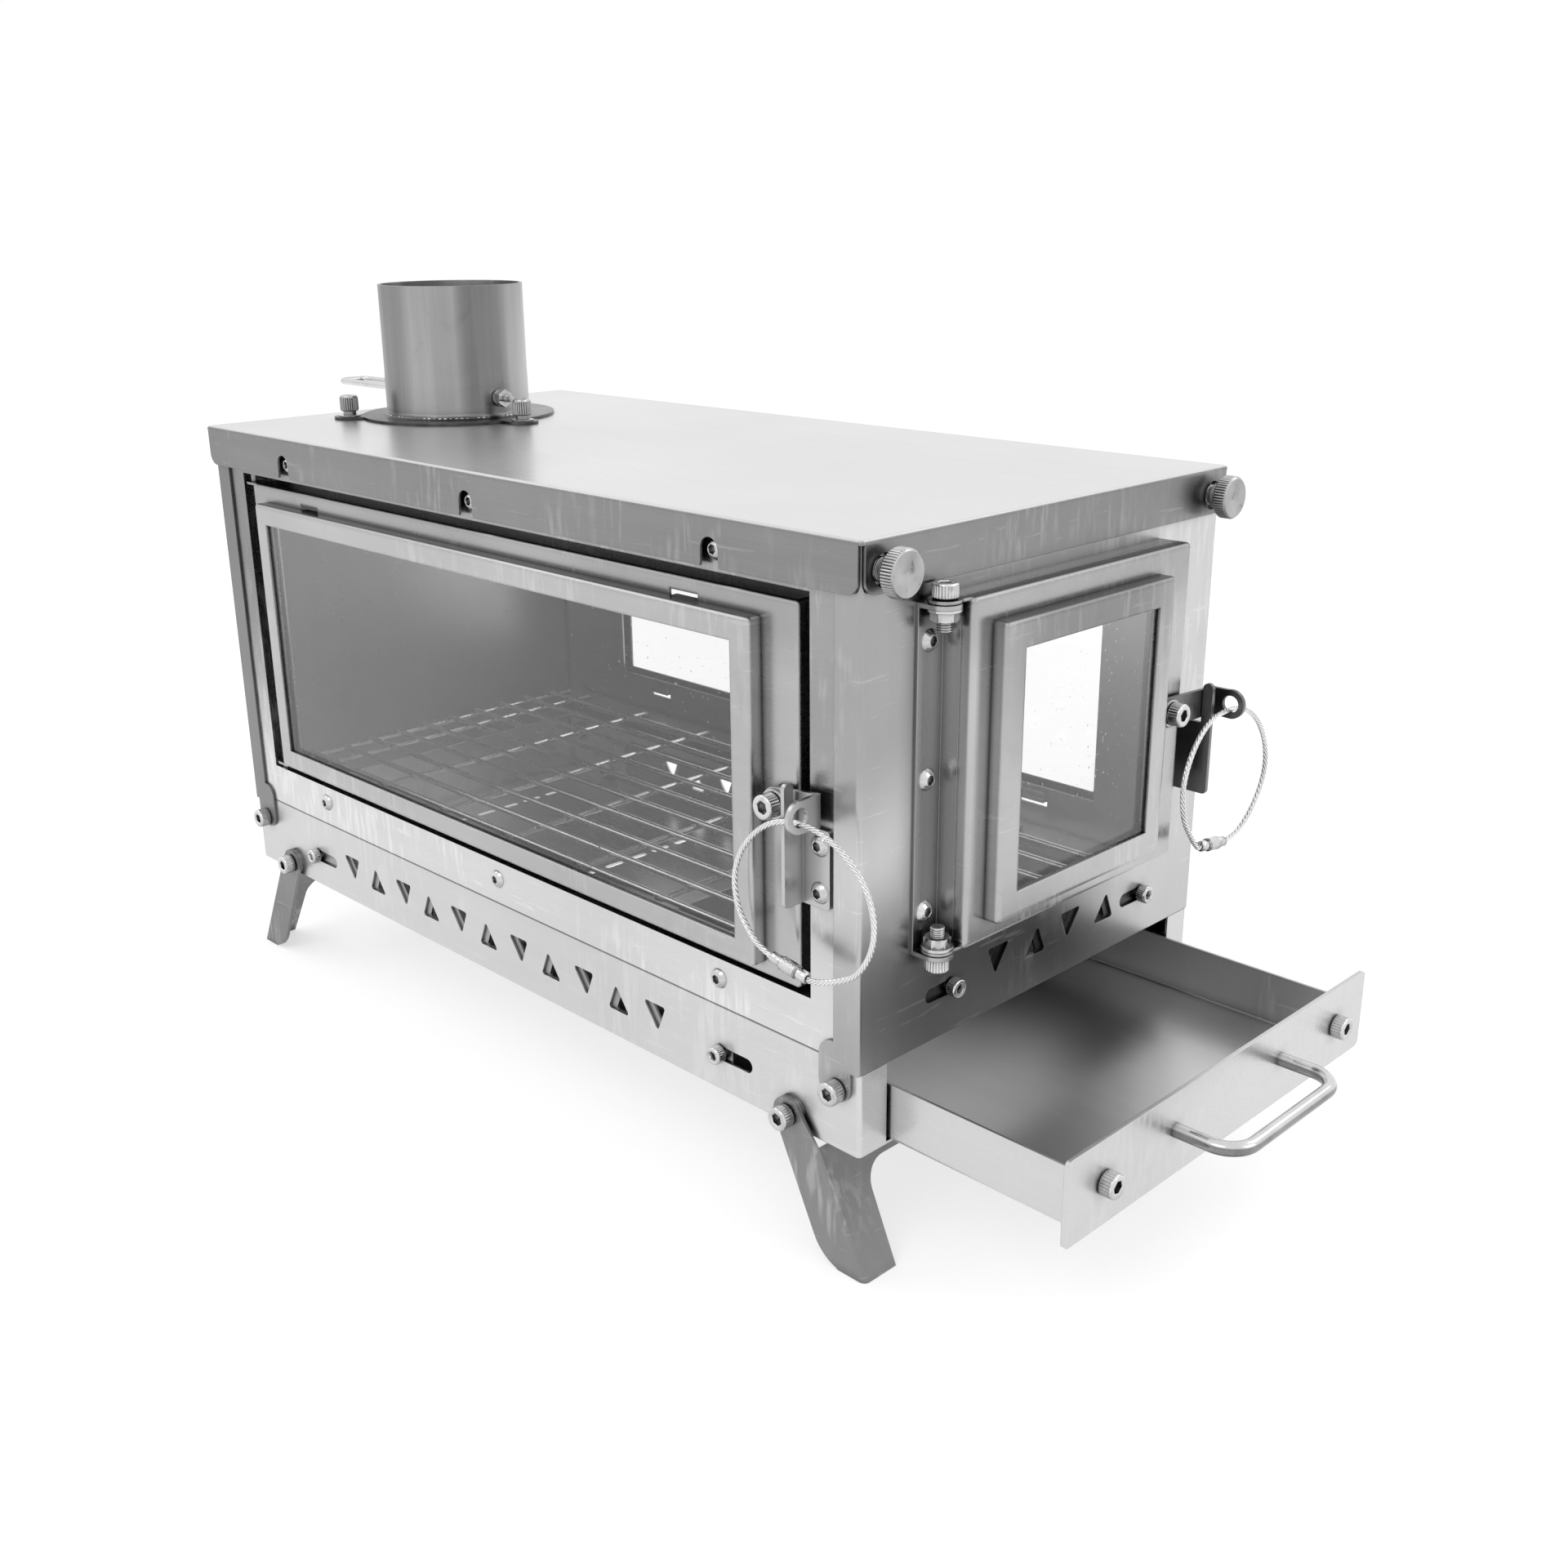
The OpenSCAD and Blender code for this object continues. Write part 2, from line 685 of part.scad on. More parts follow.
// Shallow pan, its face on z = 0 and its walls below
module pan(l, w, h) {
    lid(l, w);
    translate([0, 0, -h]) linear_extrude(h - bend_r)
        difference() {
            pill(l, w, bend_r);
            pill(l - 2 * sheet_t, w - 2 * sheet_t, bend_r - sheet_t);
        }
}

// Points of a triangle with round corners
function corner_pts(p, a, b, r) =
    let (u = (a - p) / norm(a - p), v = (b - p) / norm(b - p),
        m = (u + v) / norm(u + v), half = acos(u * v) / 2,
        c = p + m * r / sin(half), s = atan2(-m[1], -m[0]))
    [for (k = [-1 : 0.5 : 1]) c + r * [cos(s + k * (90 - half)), sin(s + k * (90 - half))]];
function vent_pts(w, h, lean, r) =
    let (p = [[-w / 2, h / 2], [lean, -h / 2], [w / 2, h / 2]])
    concat(corner_pts(p[0], p[2], p[1], r), corner_pts(p[1], p[0], p[2], r),
        corner_pts(p[2], p[1], p[0], r));

// Vent with its tip down, or up for odd numbers
module vent(i, lean) {
    rotate([0, 0, 180 * (i % 2)]) polygon(vent_pts(vent_w, vent_h, lean, vent_r));
}

// Row of the long sides' vents in x, z
module vent_row() {
    for (i = [0 : 10])
        translate([vent_mid + (i - 5) * vent_pitch, 0]) vent(i, vent_lean);
}

// Row of the door end's vents in y, z
module end_vent_row() {
    for (i = [0 : 3])
        translate([end_vent_mid + (i - 1.5) * end_vent_pitch, 0]) vent(i, -vent_lean);
}

// Screw with its head above z = 0 and its shank below
module socket_screw(r, l) {
    head = r * head_ratio;
    tall = r * head_tall;
    difference() {
        union() {
            cylinder(r = head, h = tall - bevel);
            translate([0, 0, tall - bevel]) cylinder(r1 = head, r2 = head - bevel, h = bevel);
            translate([0, 0, -l]) cylinder(r = r, h = l + bevel);
        }
        translate([0, 0, tall / 2]) cylinder(r = r * 0.92, h = tall, $fn = 6);
    }
}

module button_screw(l) {
    ball = (button_r * button_r + button_h * button_h) / (2 * button_h);
    difference() {
        union() {
            intersection() {
                translate([0, 0, button_h - ball]) sphere(ball);
                cylinder(r = button_r, h = button_h);
            }
            translate([0, 0, -l]) cylinder(r = m4_r, h = l + bevel);
        }
        translate([0, 0, button_h / 3]) cylinder(r = m4_r * 0.75, h = button_h, $fn = 6);
    }
}

// Nut above z = 0, with a bore if one is given
module nut(r, bore = 0) {
    difference() {
        cylinder(r = r * nut_ratio, h = r * nut_tall, $fn = 6);
        if (bore > 0) translate([0, 0, -bevel]) cylinder(r = bore, h = r * nut_tall + 2 * bevel);
    }
}

// Knurled knob above z = 0
module knob(r, h, teeth) {
    linear_extrude(h - bevel)
        polygon([for (k = [0 : 2 * teeth - 1])
            let (a = k * 180 / teeth) (r - (k % 2) * knurl_d) * [cos(a), sin(a)]]);
    translate([0, 0, h - bevel]) cylinder(r1 = r - 2 * knurl_d, r2 = r - 2 * knurl_d - bevel, h = bevel);
}

// Quarter torus of a rod that comes along +x and leaves along +y, its centre line through 0
module rod_elbow(big, r) {
    translate([0, big, 0]) rotate([0, 0, -90])
        rotate_extrude(angle = 90) translate([big, 0]) circle(r);
}

// Rod bent to a U: its legs run along +x from x = 0 to x = reach at y = +-half
module rod_u(reach, half, big, r) {
    for (m = [0, 1]) mirror([0, m, 0]) {
        translate([0, -half, 0]) rotate([0, 90, 0]) cylinder(r = r, h = reach - big);
        translate([reach - big, -half, 0]) rod_elbow(big, r);
    }
    translate([reach, 0, 0]) rotate([90, 0, 0])
        cylinder(r = r, h = 2 * (half - big), center = true);
}

// Places of the screws along the long panels
module at_panel_screws() {
    for (x = [-screw_x_top, 0, screw_x_top]) translate([x, -wy, -screw_z_top]) on_front() children(0);
    for (x = [-screw_x_low, 0, screw_x_low])
        translate([x, -wy, rim_z + screw_z_low]) on_front() children(1);
}

module at_tab_screws() {
    both_sides() for (i = [-1, 1])
        translate([i * (hx - tab_screw_in), -hy, base_z + tab_screw_up]) on_front() children();
}

module at_legs() {
    both_sides() for (i = [-1, 1])
        translate([i * leg_x, -wy, leg_z]) on_front() children();
}

// Places of the bolts of a long slider, which stand at the -X ends of their slots
module at_slider_bolts() {
    for (i = [-1, 1]) translate([i * slot_x - slot_run, -wy, slider_z]) on_front() children();
}

// Places of the bolts of the end slider, which stand at the +Y ends of their slots
module at_end_slider_bolts() {
    for (i = [-1, 1]) translate([hx, i * eslot_y + eslot_run, eslot_zz]) on_end() children();
}

module at_jamb_screws() {
    for (z = [-1, 0, 1])
        translate([hx + sheet_t, ehinge_y, edoor_z0 + edoor_h / 2 - sheet_t + z * (edoor_h / 2 - strike_w)])
            on_end() children();
}

module at_strike_screws() {
    for (k = [0, 1]) {
        translate([latch_x + wing_x + strike_screw_in, -wy - plate_t,
            latch_z - arm_gap - strike_h + strike_screw_low + k * strike_screw_gap])
            on_front() children();
        translate([hx + plate_t, elatch_y + ewing_x + strike_screw_in,
            elatch_z - earm_gap - strike_h + strike_screw_low + k * strike_screw_gap])
            on_end() children();
    }
}

// Hole for a still screw, along the thickness of on_front and on_end
module screw_hole(r) {
    cylinder(r = r + fit / 2, h = 2 * lip_d, center = true);
}

module base_frame() {
    color("silver") difference() {
        union() {
            both_sides() {
                span([corner_l - hx, hx - corner_l], [-wy, -wi], [base_z, strip_z]);
                span([bend_r - panel_x, panel_x - bend_r], [-wy, -wi], [base_z, rim_z]);
                span([hem_in - hx, hx - hem_in], [-wy, lip_d - wy], [rim_z - sheet_t, rim_z]);
            }
            for (m = [0, 1]) mirror([m, 0, 0]) translate([0, 0, base_z])
                linear_extrude(strip_z - base_z) channel(hx, wy, corner_l, sheet_t, bend_r);
            translate([0, 0, base_z]) linear_extrude(sheet_t) pill(2 * hx, 2 * wy, bend_r);
        }
        // mouth of the drawer
        span([hx - 2 * sheet_t, hx + sheet_t], [-mouth_y, mouth_y], [floor_z, strip_z + sheet_t]);
        // vents and slots of both long walls
        translate([0, 0, vent_zz]) rotate([90, 0, 0])
            linear_extrude(2 * hy, center = true) vent_row();
        for (i = [-1, 1]) translate([i * slot_x, 0, slider_z]) rotate([90, 0, 0])
            linear_extrude(2 * hy, center = true) slot(slot_l, slot_w);
        // slots of the floor
        for (i = [-1.5 : 1.5], j = [-4 : 4])
            translate([floor_mid + i * floor_row, j * floor_pitch, floor_z])
                rotate([0, 0, 90]) linear_extrude(4 * sheet_t, center = true)
                    slot(floor_slot_l, floor_slot_w);
        at_tab_screws() screw_hole(m5_r);
        at_legs() screw_hole(m5_r);
    }
}

module drawer_rails() {
    rail_x0 = tray_x1 - drawn - tray_l;
    color("silver") both_sides() {
        span([rail_x0, hx - 2 * sheet_t], [-tray_y - drawer_play - sheet_t, -tray_y - drawer_play],
            [floor_z, floor_z + guide_h]);
        span([rail_x0, hx - 2 * sheet_t], [-tray_y - drawer_play - lip_d, -tray_y - drawer_play],
            [floor_z, floor_z + sheet_t]);
    }
}

// Upright sheet of a long side with its two inward lips
module long_sheet() {
    span([-panel_x, panel_x], [-wy, -wi], [rim_z, body_top]);
    span([-panel_x, panel_x], [-wy, lip_d - wy], [rim_z, rim_z + sheet_t]);
    span([-panel_x, panel_x], [-wy, lip_d - wy], [body_top - sheet_t, body_top]);
}

module front_panel() {
    color("silver") difference() {
        union() {
            difference() {
                union() {
                    long_sheet();
                    span([-open_x - sheet_t, open_x + sheet_t], [-wy, return_d - wy],
                        [open_lo - sheet_t, open_hi + sheet_t]);
                }
                span([-open_x, open_x], [-hy, 0], [open_lo, open_hi]);
            }
            // stop for the door
            difference() {
                span([-open_x - sheet_t, open_x + sheet_t], [stop_y, stop_y + sheet_t],
                    [open_lo - sheet_t, open_hi + sheet_t]);
                span([stop_w - open_x, open_x - stop_w], [-hy, 0], [open_lo + stop_w, open_hi - stop_w]);
            }
        }
        at_panel_screws() {
            screw_hole(m4_r);
            screw_hole(m4_r);
        }
        // bearings of the hinge pins
        translate([pin_x, pin_y, ground_z]) cylinder(r = pin_r + fit, h = stove_h);
        // screws of the strike
        at_strike_screws() screw_hole(m4_r);
    }
}

module back_panel() {
    color("silver") difference() {
        mirror([0, 1, 0]) difference() {
            long_sheet();
            at_panel_screws() {
                screw_hole(m4_r);
                screw_hole(m4_r);
            }
        }
        translate([ret_x, wy, ret_z]) on_back() seat_cuts();
    }
}

// Window and tab slots in the sheet behind a long retainer
module seat_cuts() {
    translate([0, 0, -lip_d]) linear_extrude(2 * lip_d) {
        square([ret_l - 2 * seat_in, ret_h - 2 * seat_in], center = true);
        for (i = [-1, 1], j = [-1, 1])
            translate([i * ret_tab_x, j * (ret_h / 2 + ret_slot_h / 2 - sheet_t)])
                square([ret_tab_w + 2 * sheet_t, ret_slot_h], center = true);
    }
}

// Shape shared by both end panels
module end_sheet() {
    translate([0, 0, end_z]) linear_extrude(body_top - end_z)
        channel(hx, hy, wing_w, sheet_t, bend_r);
    span([hx - lip_d, hx - sheet_t / 2], [lip_d + sheet_t - wy, wy - lip_d - sheet_t],
        [body_top - sheet_t, body_top]);
    both_sides() translate([hx - tab_in - tab_w / 2, -wy, base_z + (tab_low + tab_top) / 2])
        on_front() linear_extrude(sheet_t) pill(tab_w, tab_top - tab_low, tab_r);
    both_sides() span([hx - wing_w, hx - tab_in], [-hy, -wy],
        [end_z, base_z + tab_top - tab_r / 2]);
}

module door_end_panel() {
    color("silver") difference() {
        end_sheet();
        translate([hx, edoor_y, edoor_z0 + edoor_h / 2]) on_end()
            linear_extrude(4 * sheet_t, center = true)
                square([jamb_w - 2 * sheet_t, jamb_h - 2 * sheet_t], center = true);
        translate([hx, 0, event_zz]) on_end() linear_extrude(4 * sheet_t, center = true) end_vent_row();
        for (i = [-1, 1]) translate([hx, i * eslot_y, eslot_zz]) on_end()
            linear_extrude(4 * sheet_t, center = true) slot(eslot_l, slot_w);
        at_tab_screws() screw_hole(m5_r);
        at_jamb_screws() screw_hole(m4_r);
        at_strike_screws() screw_hole(m4_r);
        for (i = [-1, 1]) translate([hx, i * thumb_y, -thumb_z]) on_end() screw_hole(m5_r);
    }
}

module rear_end_panel() {
    color("silver") difference() {
        mirror([1, 0, 0]) end_sheet();
        at_tab_screws() screw_hole(m5_r);
    }
}

// Flange of the top plate in x, y: its upper edge on y = 0
module flap(l) {
    translate([-l / 2, flange_r - flange_h + bend_r]) square([l, flange_h - flange_r - bend_r]);
    translate([flange_r - l / 2, bend_r - flange_h]) square([l - 2 * flange_r, flange_r]);
    for (i = [-1, 1]) translate([i * (l / 2 - flange_r), flange_r - flange_h + bend_r]) circle(flange_r);
}

// Notch that clears a panel screw, open below
module notch() {
    circle(notch_r);
    translate([-notch_r, -flange_h]) square([2 * notch_r, flange_h]);
    polygon([[-notch_r, screw_z_top - flange_h + 2 * sheet_t], [-notch_r - 2 * sheet_t, -flange_h],
        [notch_r + 2 * sheet_t, -flange_h], [notch_r, screw_z_top - flange_h + 2 * sheet_t]]);
}

module top_plate() {
    color("silver") difference() {
        union() {
            lid(top_l, top_w);
            both_sides() translate([0, sheet_t - top_w / 2, -bend_r]) on_front()
                linear_extrude(sheet_t) flap(top_l - 2 * slit);
            for (m = [0, 1]) mirror([m, 0, 0]) translate([top_l / 2 - sheet_t, 0, -bend_r])
                on_end() linear_extrude(sheet_t) flap(top_w - 2 * slit);
        }
        both_sides() for (x = [-screw_x_top, 0, screw_x_top])
            translate([x, -top_w / 2, -screw_z_top]) on_front()
                linear_extrude(4 * sheet_t, center = true) notch();
        for (i = [-1, 1]) translate([top_l / 2, i * thumb_y, -thumb_z]) on_end()
            cylinder(r = thumb_hole_r, h = 4 * sheet_t, center = true);
        translate([flue_c, 0, -lip_d]) cylinder(r = flue_r + seam, h = 2 * lip_d);
        at_collar() cylinder(r = m4_r + fit, h = 2 * lip_d, center = true);
    }
}

// Places of the collar's screws on the top face
module at_collar() {
    for (a = [0, 120, 240]) translate([flue_c, 0, 0]) rotate([0, 0, a])
        translate([ear_d, 0, 0]) children();
}

module flue_collar() {
    color("gainsboro") difference() {
        union() {
            linear_extrude(collar_t) {
                translate([flue_c, 0]) circle(collar_r, $fn = 96);
                for (a = [0, 120, 240]) translate([flue_c, 0]) rotate([0, 0, a]) {
                    translate([ear_d, 0]) circle(ear_r);
                    translate([ear_d / 2, -ear_r]) square([ear_d / 2, 2 * ear_r]);
                }
            }
            // fillet, spigot and its drawn-in upper part
            translate([flue_c, 0, 0]) rotate_extrude($fn = 96) polygon(concat(
                [[bore_r - sheet_t, 0]],
                [for (k = [0 : 5]) let (a = k * 18)
                    [flue_r + foot_r * (1 - sin(a)), collar_t + foot_r * (1 - cos(a))]],
                [[flue_r, swage_z], [spigot_r, swage_z + swage_h], [spigot_r, flue_h],
                    [bore_r - sheet_t, flue_h]]));
            translate([flue_c, 0, -2 * sheet_t]) cylinder(r = flue_r, h = 3 * sheet_t, $fn = 96);
        }
        translate([flue_c, 0, -4 * sheet_t]) cylinder(r = bore_r, h = 2 * flue_h, $fn = 96);
        at_collar() cylinder(r = m4_r + fit, h = 4 * collar_t, center = true);
        translate([flue_c, 0, damper_z]) rotate([0, 90, 0])
            cylinder(r = wire_r + fit, h = 3 * flue_r, center = true);
    }
}

module collar_screws() {
    color("gainsboro") at_collar() translate([0, 0, collar_t]) {
        cylinder(r = knob_r * 1.2, h = 0.5 * collar_t);
        cylinder(r = knob_r * 0.7, h = 2 * collar_t);
        translate([0, 0, 2 * collar_t]) knob(knob_r, knob_h, 20);
        translate([0, 0, -knob_h]) cylinder(r = m4_r, h = knob_h + bevel);
    }
}

module thumb_screws() {
    neck = thumb_h - sheet_t;
    color("gainsboro") for (i = [-1, 1])
        translate([hx, i * thumb_y, -thumb_z]) on_end() {
            cylinder(r = thumb_r / 2, h = neck + wrap);
            translate([0, 0, wrap + neck / 3]) cylinder(r = thumb_r * 0.6, h = neck / 3);
            translate([0, 0, wrap + neck]) knob(thumb_r, thumb_h, 40);
            translate([0, 0, -thumb_h]) cylinder(r = m5_r, h = thumb_h + bevel);
        }
}

module panel_screws() {
    color("gainsboro") both_sides() at_panel_screws() {
        union() {
            button_screw(2 * thumb_h);
            translate([0, 0, -sheet_t - m4_r * nut_tall]) nut(m4_r);
        }
        button_screw(thumb_h);
    }
}

module tab_screws() {
    color("gainsboro") at_tab_screws() {
        socket_screw(m5_r, 2 * sheet_t + m5_r * nut_tall);
        translate([0, 0, -2 * sheet_t - m5_r * nut_tall]) nut(m5_r);
    }
}

module end_jamb() {
    leaf_y0 = ehinge_y - ehinge_r;
    color("silver") difference() {
        union() {
            translate([hx, edoor_y, edoor_z0 + edoor_h / 2]) on_end() linear_extrude(jamb_d)
                frame2d(jamb_w, jamb_h, jamb_w - 2 * sheet_t, jamb_h - 2 * sheet_t);
            span([hx, hx + sheet_t], [leaf_y0, edoor_y0 + jamb_in + sheet_t],
                [lug_low - plate_t, lug_top]);
            for (z = [lug_top, lug_low]) translate([ehinge_x, ehinge_y, z - plate_t])
                linear_extrude(plate_t) {
                    circle(ehinge_r);
                    translate([-ehinge_out, -ehinge_r]) square([ehinge_out, 2 * ehinge_r]);
                }
        }
        translate([ehinge_x, ehinge_y, ground_z]) cylinder(r = m5_r + fit / 2, h = stove_h);
        at_jamb_screws() screw_hole(m4_r);
    }
}

module jamb_screws() {
    color("gainsboro") at_jamb_screws() button_screw(thumb_h);
}

// Upper bolt from above and lower bolt from below
module end_hinge_bolts() {
    grip = sheet_t + 2 * play + jamb_in + plate_t + m5_r * nut_tall + hinge_stub;
    color("gainsboro") {
        translate([ehinge_x, ehinge_y, edoor_z1 + play]) socket_screw(m5_r, grip);
        translate([ehinge_x, ehinge_y, lug_low - plate_t]) mirror([0, 0, 1]) socket_screw(m5_r, grip + play);
    }
}

module end_hinge_nuts() {
    color("gainsboro") {
        translate([ehinge_x, ehinge_y, lug_top - plate_t]) mirror([0, 0, 1]) flange_nut();
        translate([ehinge_x, ehinge_y, edoor_z0 + sheet_t + play]) flange_nut();
    }
}

module flange_nut() {
    difference() {
        union() {
            nut(m5_r);
            cylinder(r1 = ehinge_r, r2 = ehinge_r - bevel, h = sheet_t);
        }
        translate([0, 0, -bevel]) cylinder(r = m5_r + fit / 2, h = 2 * thumb_h);
    }
}

// Strike in its own frame: base on z = 0, wing at x = 0 .. plate_t reaching out along z, notch open at the top
module strike(reach) {
    difference() {
        linear_extrude(plate_t) translate([strike_w / 2, strike_h / 2]) pill(strike_w, strike_h, bend_r);
        for (k = [0, 1])
            translate([plate_t + strike_screw_in - plate_t, strike_screw_low + k * strike_screw_gap, 0])
                screw_hole(m4_r);
    }
    translate([plate_t, 0, 0]) rotate([0, -90, 0]) linear_extrude(plate_t) {
        translate([0, bend_r]) square([reach, strike_h - bend_r]);
        square([reach - bend_r, bend_r]);
        translate([reach - bend_r, bend_r]) circle(bend_r);
        translate([reach - horn_w, strike_h - bend_r]) square([horn_w, horn_h + bend_r - horn_w / 2]);
        translate([reach - horn_w / 2, strike_h + horn_h - horn_w / 2]) circle(horn_w / 2);
    }
}

module long_strike() {
    color("silver") translate([latch_x + wing_x, -wy, latch_z - arm_gap - strike_h])
        on_front() strike(wing_out);
}

module end_strike() {
    color("silver") translate([hx, elatch_y + ewing_x, elatch_z - earm_gap - strike_h])
        on_end() strike(ewing_out);
}

module strike_screws() {
    color("gainsboro") at_strike_screws() button_screw(thumb_h);
}

// Retainer on z = 0 with its face out
module retainer(l, h, face) {
    difference() {
        translate([0, 0, ret_d]) pan(l, h, ret_d);
        linear_extrude(2 * ret_d) square([l - 2 * face, h - 2 * face], center = true);
    }
}

// Tabs of a long retainer that pass the sheet and are folded behind it
module retainer_tabs(l, h) {
    for (i = [-1, 1], j = [-1, 1]) translate([i * ret_tab_x, j * (h / 2 - sheet_t / 2), 0]) {
        translate([0, 0, -sheet_t]) cube([ret_tab_w, sheet_t, 3 * sheet_t], center = true);
        translate([0, -j * seat_in / 3, -1.5 * sheet_t])
            cube([ret_tab_w, seat_in / 2 + sheet_t, sheet_t], center = true);
    }
}

module back_retainer() {
    color("silver") translate([ret_x, wy, ret_z]) on_back() {
        retainer(ret_l, ret_h, bezel);
        retainer_tabs(ret_l, ret_h);
    }
}

module glass_pane(l, h) {
    translate([0, 0, gasket_t + glass_t / 2])
        cube([l - 2 * glass_in, h - 2 * glass_in, glass_t], center = true);
}

module gasket(l, h) {
    linear_extrude(gasket_t)
        frame2d(l - 2 * glass_in, h - 2 * glass_in, l - 2 * seat_in, h - 2 * seat_in);
}

module back_glass() {
    color("lightcyan") translate([ret_x, wy, ret_z]) on_back() glass_pane(ret_l, ret_h);
}

module back_gasket() {
    color("dimgray") translate([ret_x, wy, ret_z]) on_back() gasket(ret_l, ret_h);
}

module wire_grate() {
    cross_z = rest_top + grate_r;
    color("silver") {
        for (j = [-4.5 : 4.5]) translate([0, j * grate_pitch, cross_z + 1.8 * grate_r])
            rotate([0, 90, 0]) cylinder(r = grate_r, h = 2 * grate_x, center = true, $fn = 16);
        for (i = [-3.5 : 3.5]) translate([i * cross_pitch, 0, cross_z])
            rotate([90, 0, 0]) cylinder(r = grate_r, h = 2 * grate_y, center = true, $fn = 16);
        for (i = [-1, 1]) translate([i * grate_x, 0, cross_z])
            rotate([90, 0, 0]) cylinder(r = grate_r, h = 2 * grate_y, center = true, $fn = 16);
    }
}

module grate_rests() {
    color("silver") both_sides() difference() {
        union() {
            span([-grate_x - grate_r, grate_x + grate_r], [-wi, plate_t - wi], [rest_top - rest_h, rest_top]);
            span([-grate_x - grate_r, grate_x + grate_r], [-wi, rest_d - wi], [rest_top - plate_t, rest_top]);
        }
        at_panel_screws() {
            screw_hole(m4_r);
            screw_hole(m4_r);
        }
    }
}

module bail_bolts() {
    color("gainsboro") at_legs() {
        translate([0, 0, leg_washer + plate_t + 2 * play])
            socket_screw(m5_r, leg_washer + plate_t + 2 * play + sheet_t + m5_r * nut_tall);
        cylinder(r = eye_r - bevel, h = leg_washer);
        translate([0, 0, -sheet_t - m5_r * nut_tall]) nut(m5_r);
    }
}

module damper_spindle() {
    color("gainsboro") translate([flue_c, 0, damper_z]) {
        rotate([0, 90, 0]) translate([0, 0, -handle_in])
            cylinder(r = wire_r, h = handle_in + spindle_out);
        mirror([1, 0, 0]) translate([handle_in, 0, 0])
            rod_u(handle_out - handle_in, handle_half, handle_bend, wire_r);
        translate([-handle_in, 0, 0]) {
            rotate([90, 0, 0]) cylinder(r = wire_r, h = 2 * handle_half, center = true);
            for (j = [-1, 1]) translate([0, j * handle_half, 0]) sphere(wire_r);
        }
    }
}

module damper_plate() {
    color("silver") difference() {
        translate([flue_c, 0, damper_z + wire_r * 0.8]) cylinder(r = disc_r, h = disc_t, $fn = 96);
        translate([flue_c, 0, damper_z]) rotate([0, 90, 0])
            cylinder(r = wire_r, h = 3 * flue_r, center = true);
    }
}

module damper_nut() {
    color("gainsboro") translate([flue_c + flue_r + play, 0, damper_z]) rotate([0, 90, 0]) difference() {
        union() {
            cylinder(r = wire_r * 2.6, h = disc_t);
            translate([0, 0, disc_t]) nut(wire_r * 1.45);
        }
        cylinder(r = wire_r, h = 4 * flue_r, center = true);
    }
}

module end_door_frame() {
    ear_x0 = edoor_x - edoor_d;
    color("silver") difference() {
        union() {
            translate([edoor_x, edoor_y, edoor_z0 + edoor_h / 2]) on_end() pan(edoor_w, edoor_h, edoor_d);
            for (z = [edoor_z0, edoor_z1 - sheet_t]) translate([0, 0, z]) linear_extrude(sheet_t) {
                translate([ehinge_x, ehinge_y]) circle(ehinge_r);
                polygon([[ehinge_x, ehinge_y + ehinge_r], [ehinge_x, ehinge_y - ehinge_r],
                    [ehinge_x + ehinge_r * 0.7, ehinge_y - ehinge_r * 0.7],
                    [edoor_x - bend_r, edoor_y0 + bend_r],
                    [edoor_x - bend_r, edoor_y0 + 2 * bend_r],
                    [ear_x0, edoor_y0 + 2 * bend_r], [ear_x0, ehinge_y + ehinge_r]]);
            }
        }
        translate([edoor_x, eret_y, eret_z]) on_end() linear_extrude(4 * sheet_t, center = true)
            square([eret_l - 2 * ebezel + 4 * sheet_t, eret_h - 2 * ebezel + 4 * sheet_t], center = true);
        translate([ehinge_x, ehinge_y, ground_z]) cylinder(r = m5_r + fit, h = stove_h);
        translate([edoor_x, elatch_y, elatch_z]) on_end() screw_hole(m5_r);
    }
}

module end_door_retainer() {
    color("silver") translate([edoor_x, eret_y, eret_z]) on_end() retainer(eret_l, eret_h, ebezel);
}

module end_door_glass() {
    color("lightcyan") translate([edoor_x, eret_y, eret_z]) on_end() glass_pane(eret_l, eret_h);
}

module end_door_gasket() {
    color("dimgray") translate([edoor_x, eret_y, eret_z]) on_end() gasket(eret_l, eret_h);
}

// Bolt of a latch with its nut behind the sheet: z = 0 is the door's face
module latch_bolt(stack) {
    translate([0, 0, stack]) socket_screw(m5_r, stack + sheet_t + m5_r * nut_tall);
    translate([0, 0, -sheet_t - m5_r * nut_tall]) nut(m5_r);
}

module latch_washers(behind) {
    difference() {
        union() {
            cylinder(r = washer_r, h = behind);
            translate([0, 0, behind + plate_t + 2 * play]) cylinder(r = washer_r, h = washer_out);
        }
        cylinder(r = m5_r + fit / 2, h = 4 * thumb_h, center = true);
    }
}

// Lever about z: arm from z = 0 up, tab bent out along +z at the arm's end
module lever(l, hi, lo, hole) {
    difference() {
        linear_extrude(plate_t) {
            circle(lever_r);
            polygon([[0, lever_r], [l, hi], [l, lo], [0, -lever_r]]);
        }
        cylinder(r = m5_r + fit, h = 4 * plate_t, center = true);
    }
    translate([l, 0, 0]) rotate([0, -90, 0]) linear_extrude(plate_t) difference() {
        union() {
            translate([tab_hole_out, hole]) circle(lever_r);
            polygon([[0, lo], [0, hi], [tab_hole_out + lever_r / 4, hole + lever_r * 0.968],
                [tab_hole_out, hole - lever_r]]);
        }
        translate([tab_hole_out, hole]) circle(tab_hole_r);
    }
}

module end_latch_bolt() {
    color("gainsboro") translate([edoor_x, elatch_y, elatch_z]) on_end()
        latch_bolt(2 * washer_out + plate_t + 2 * play);
}

module end_latch_washers() {
    color("gainsboro") translate([edoor_x, elatch_y, elatch_z]) on_end() latch_washers(washer_out);
}

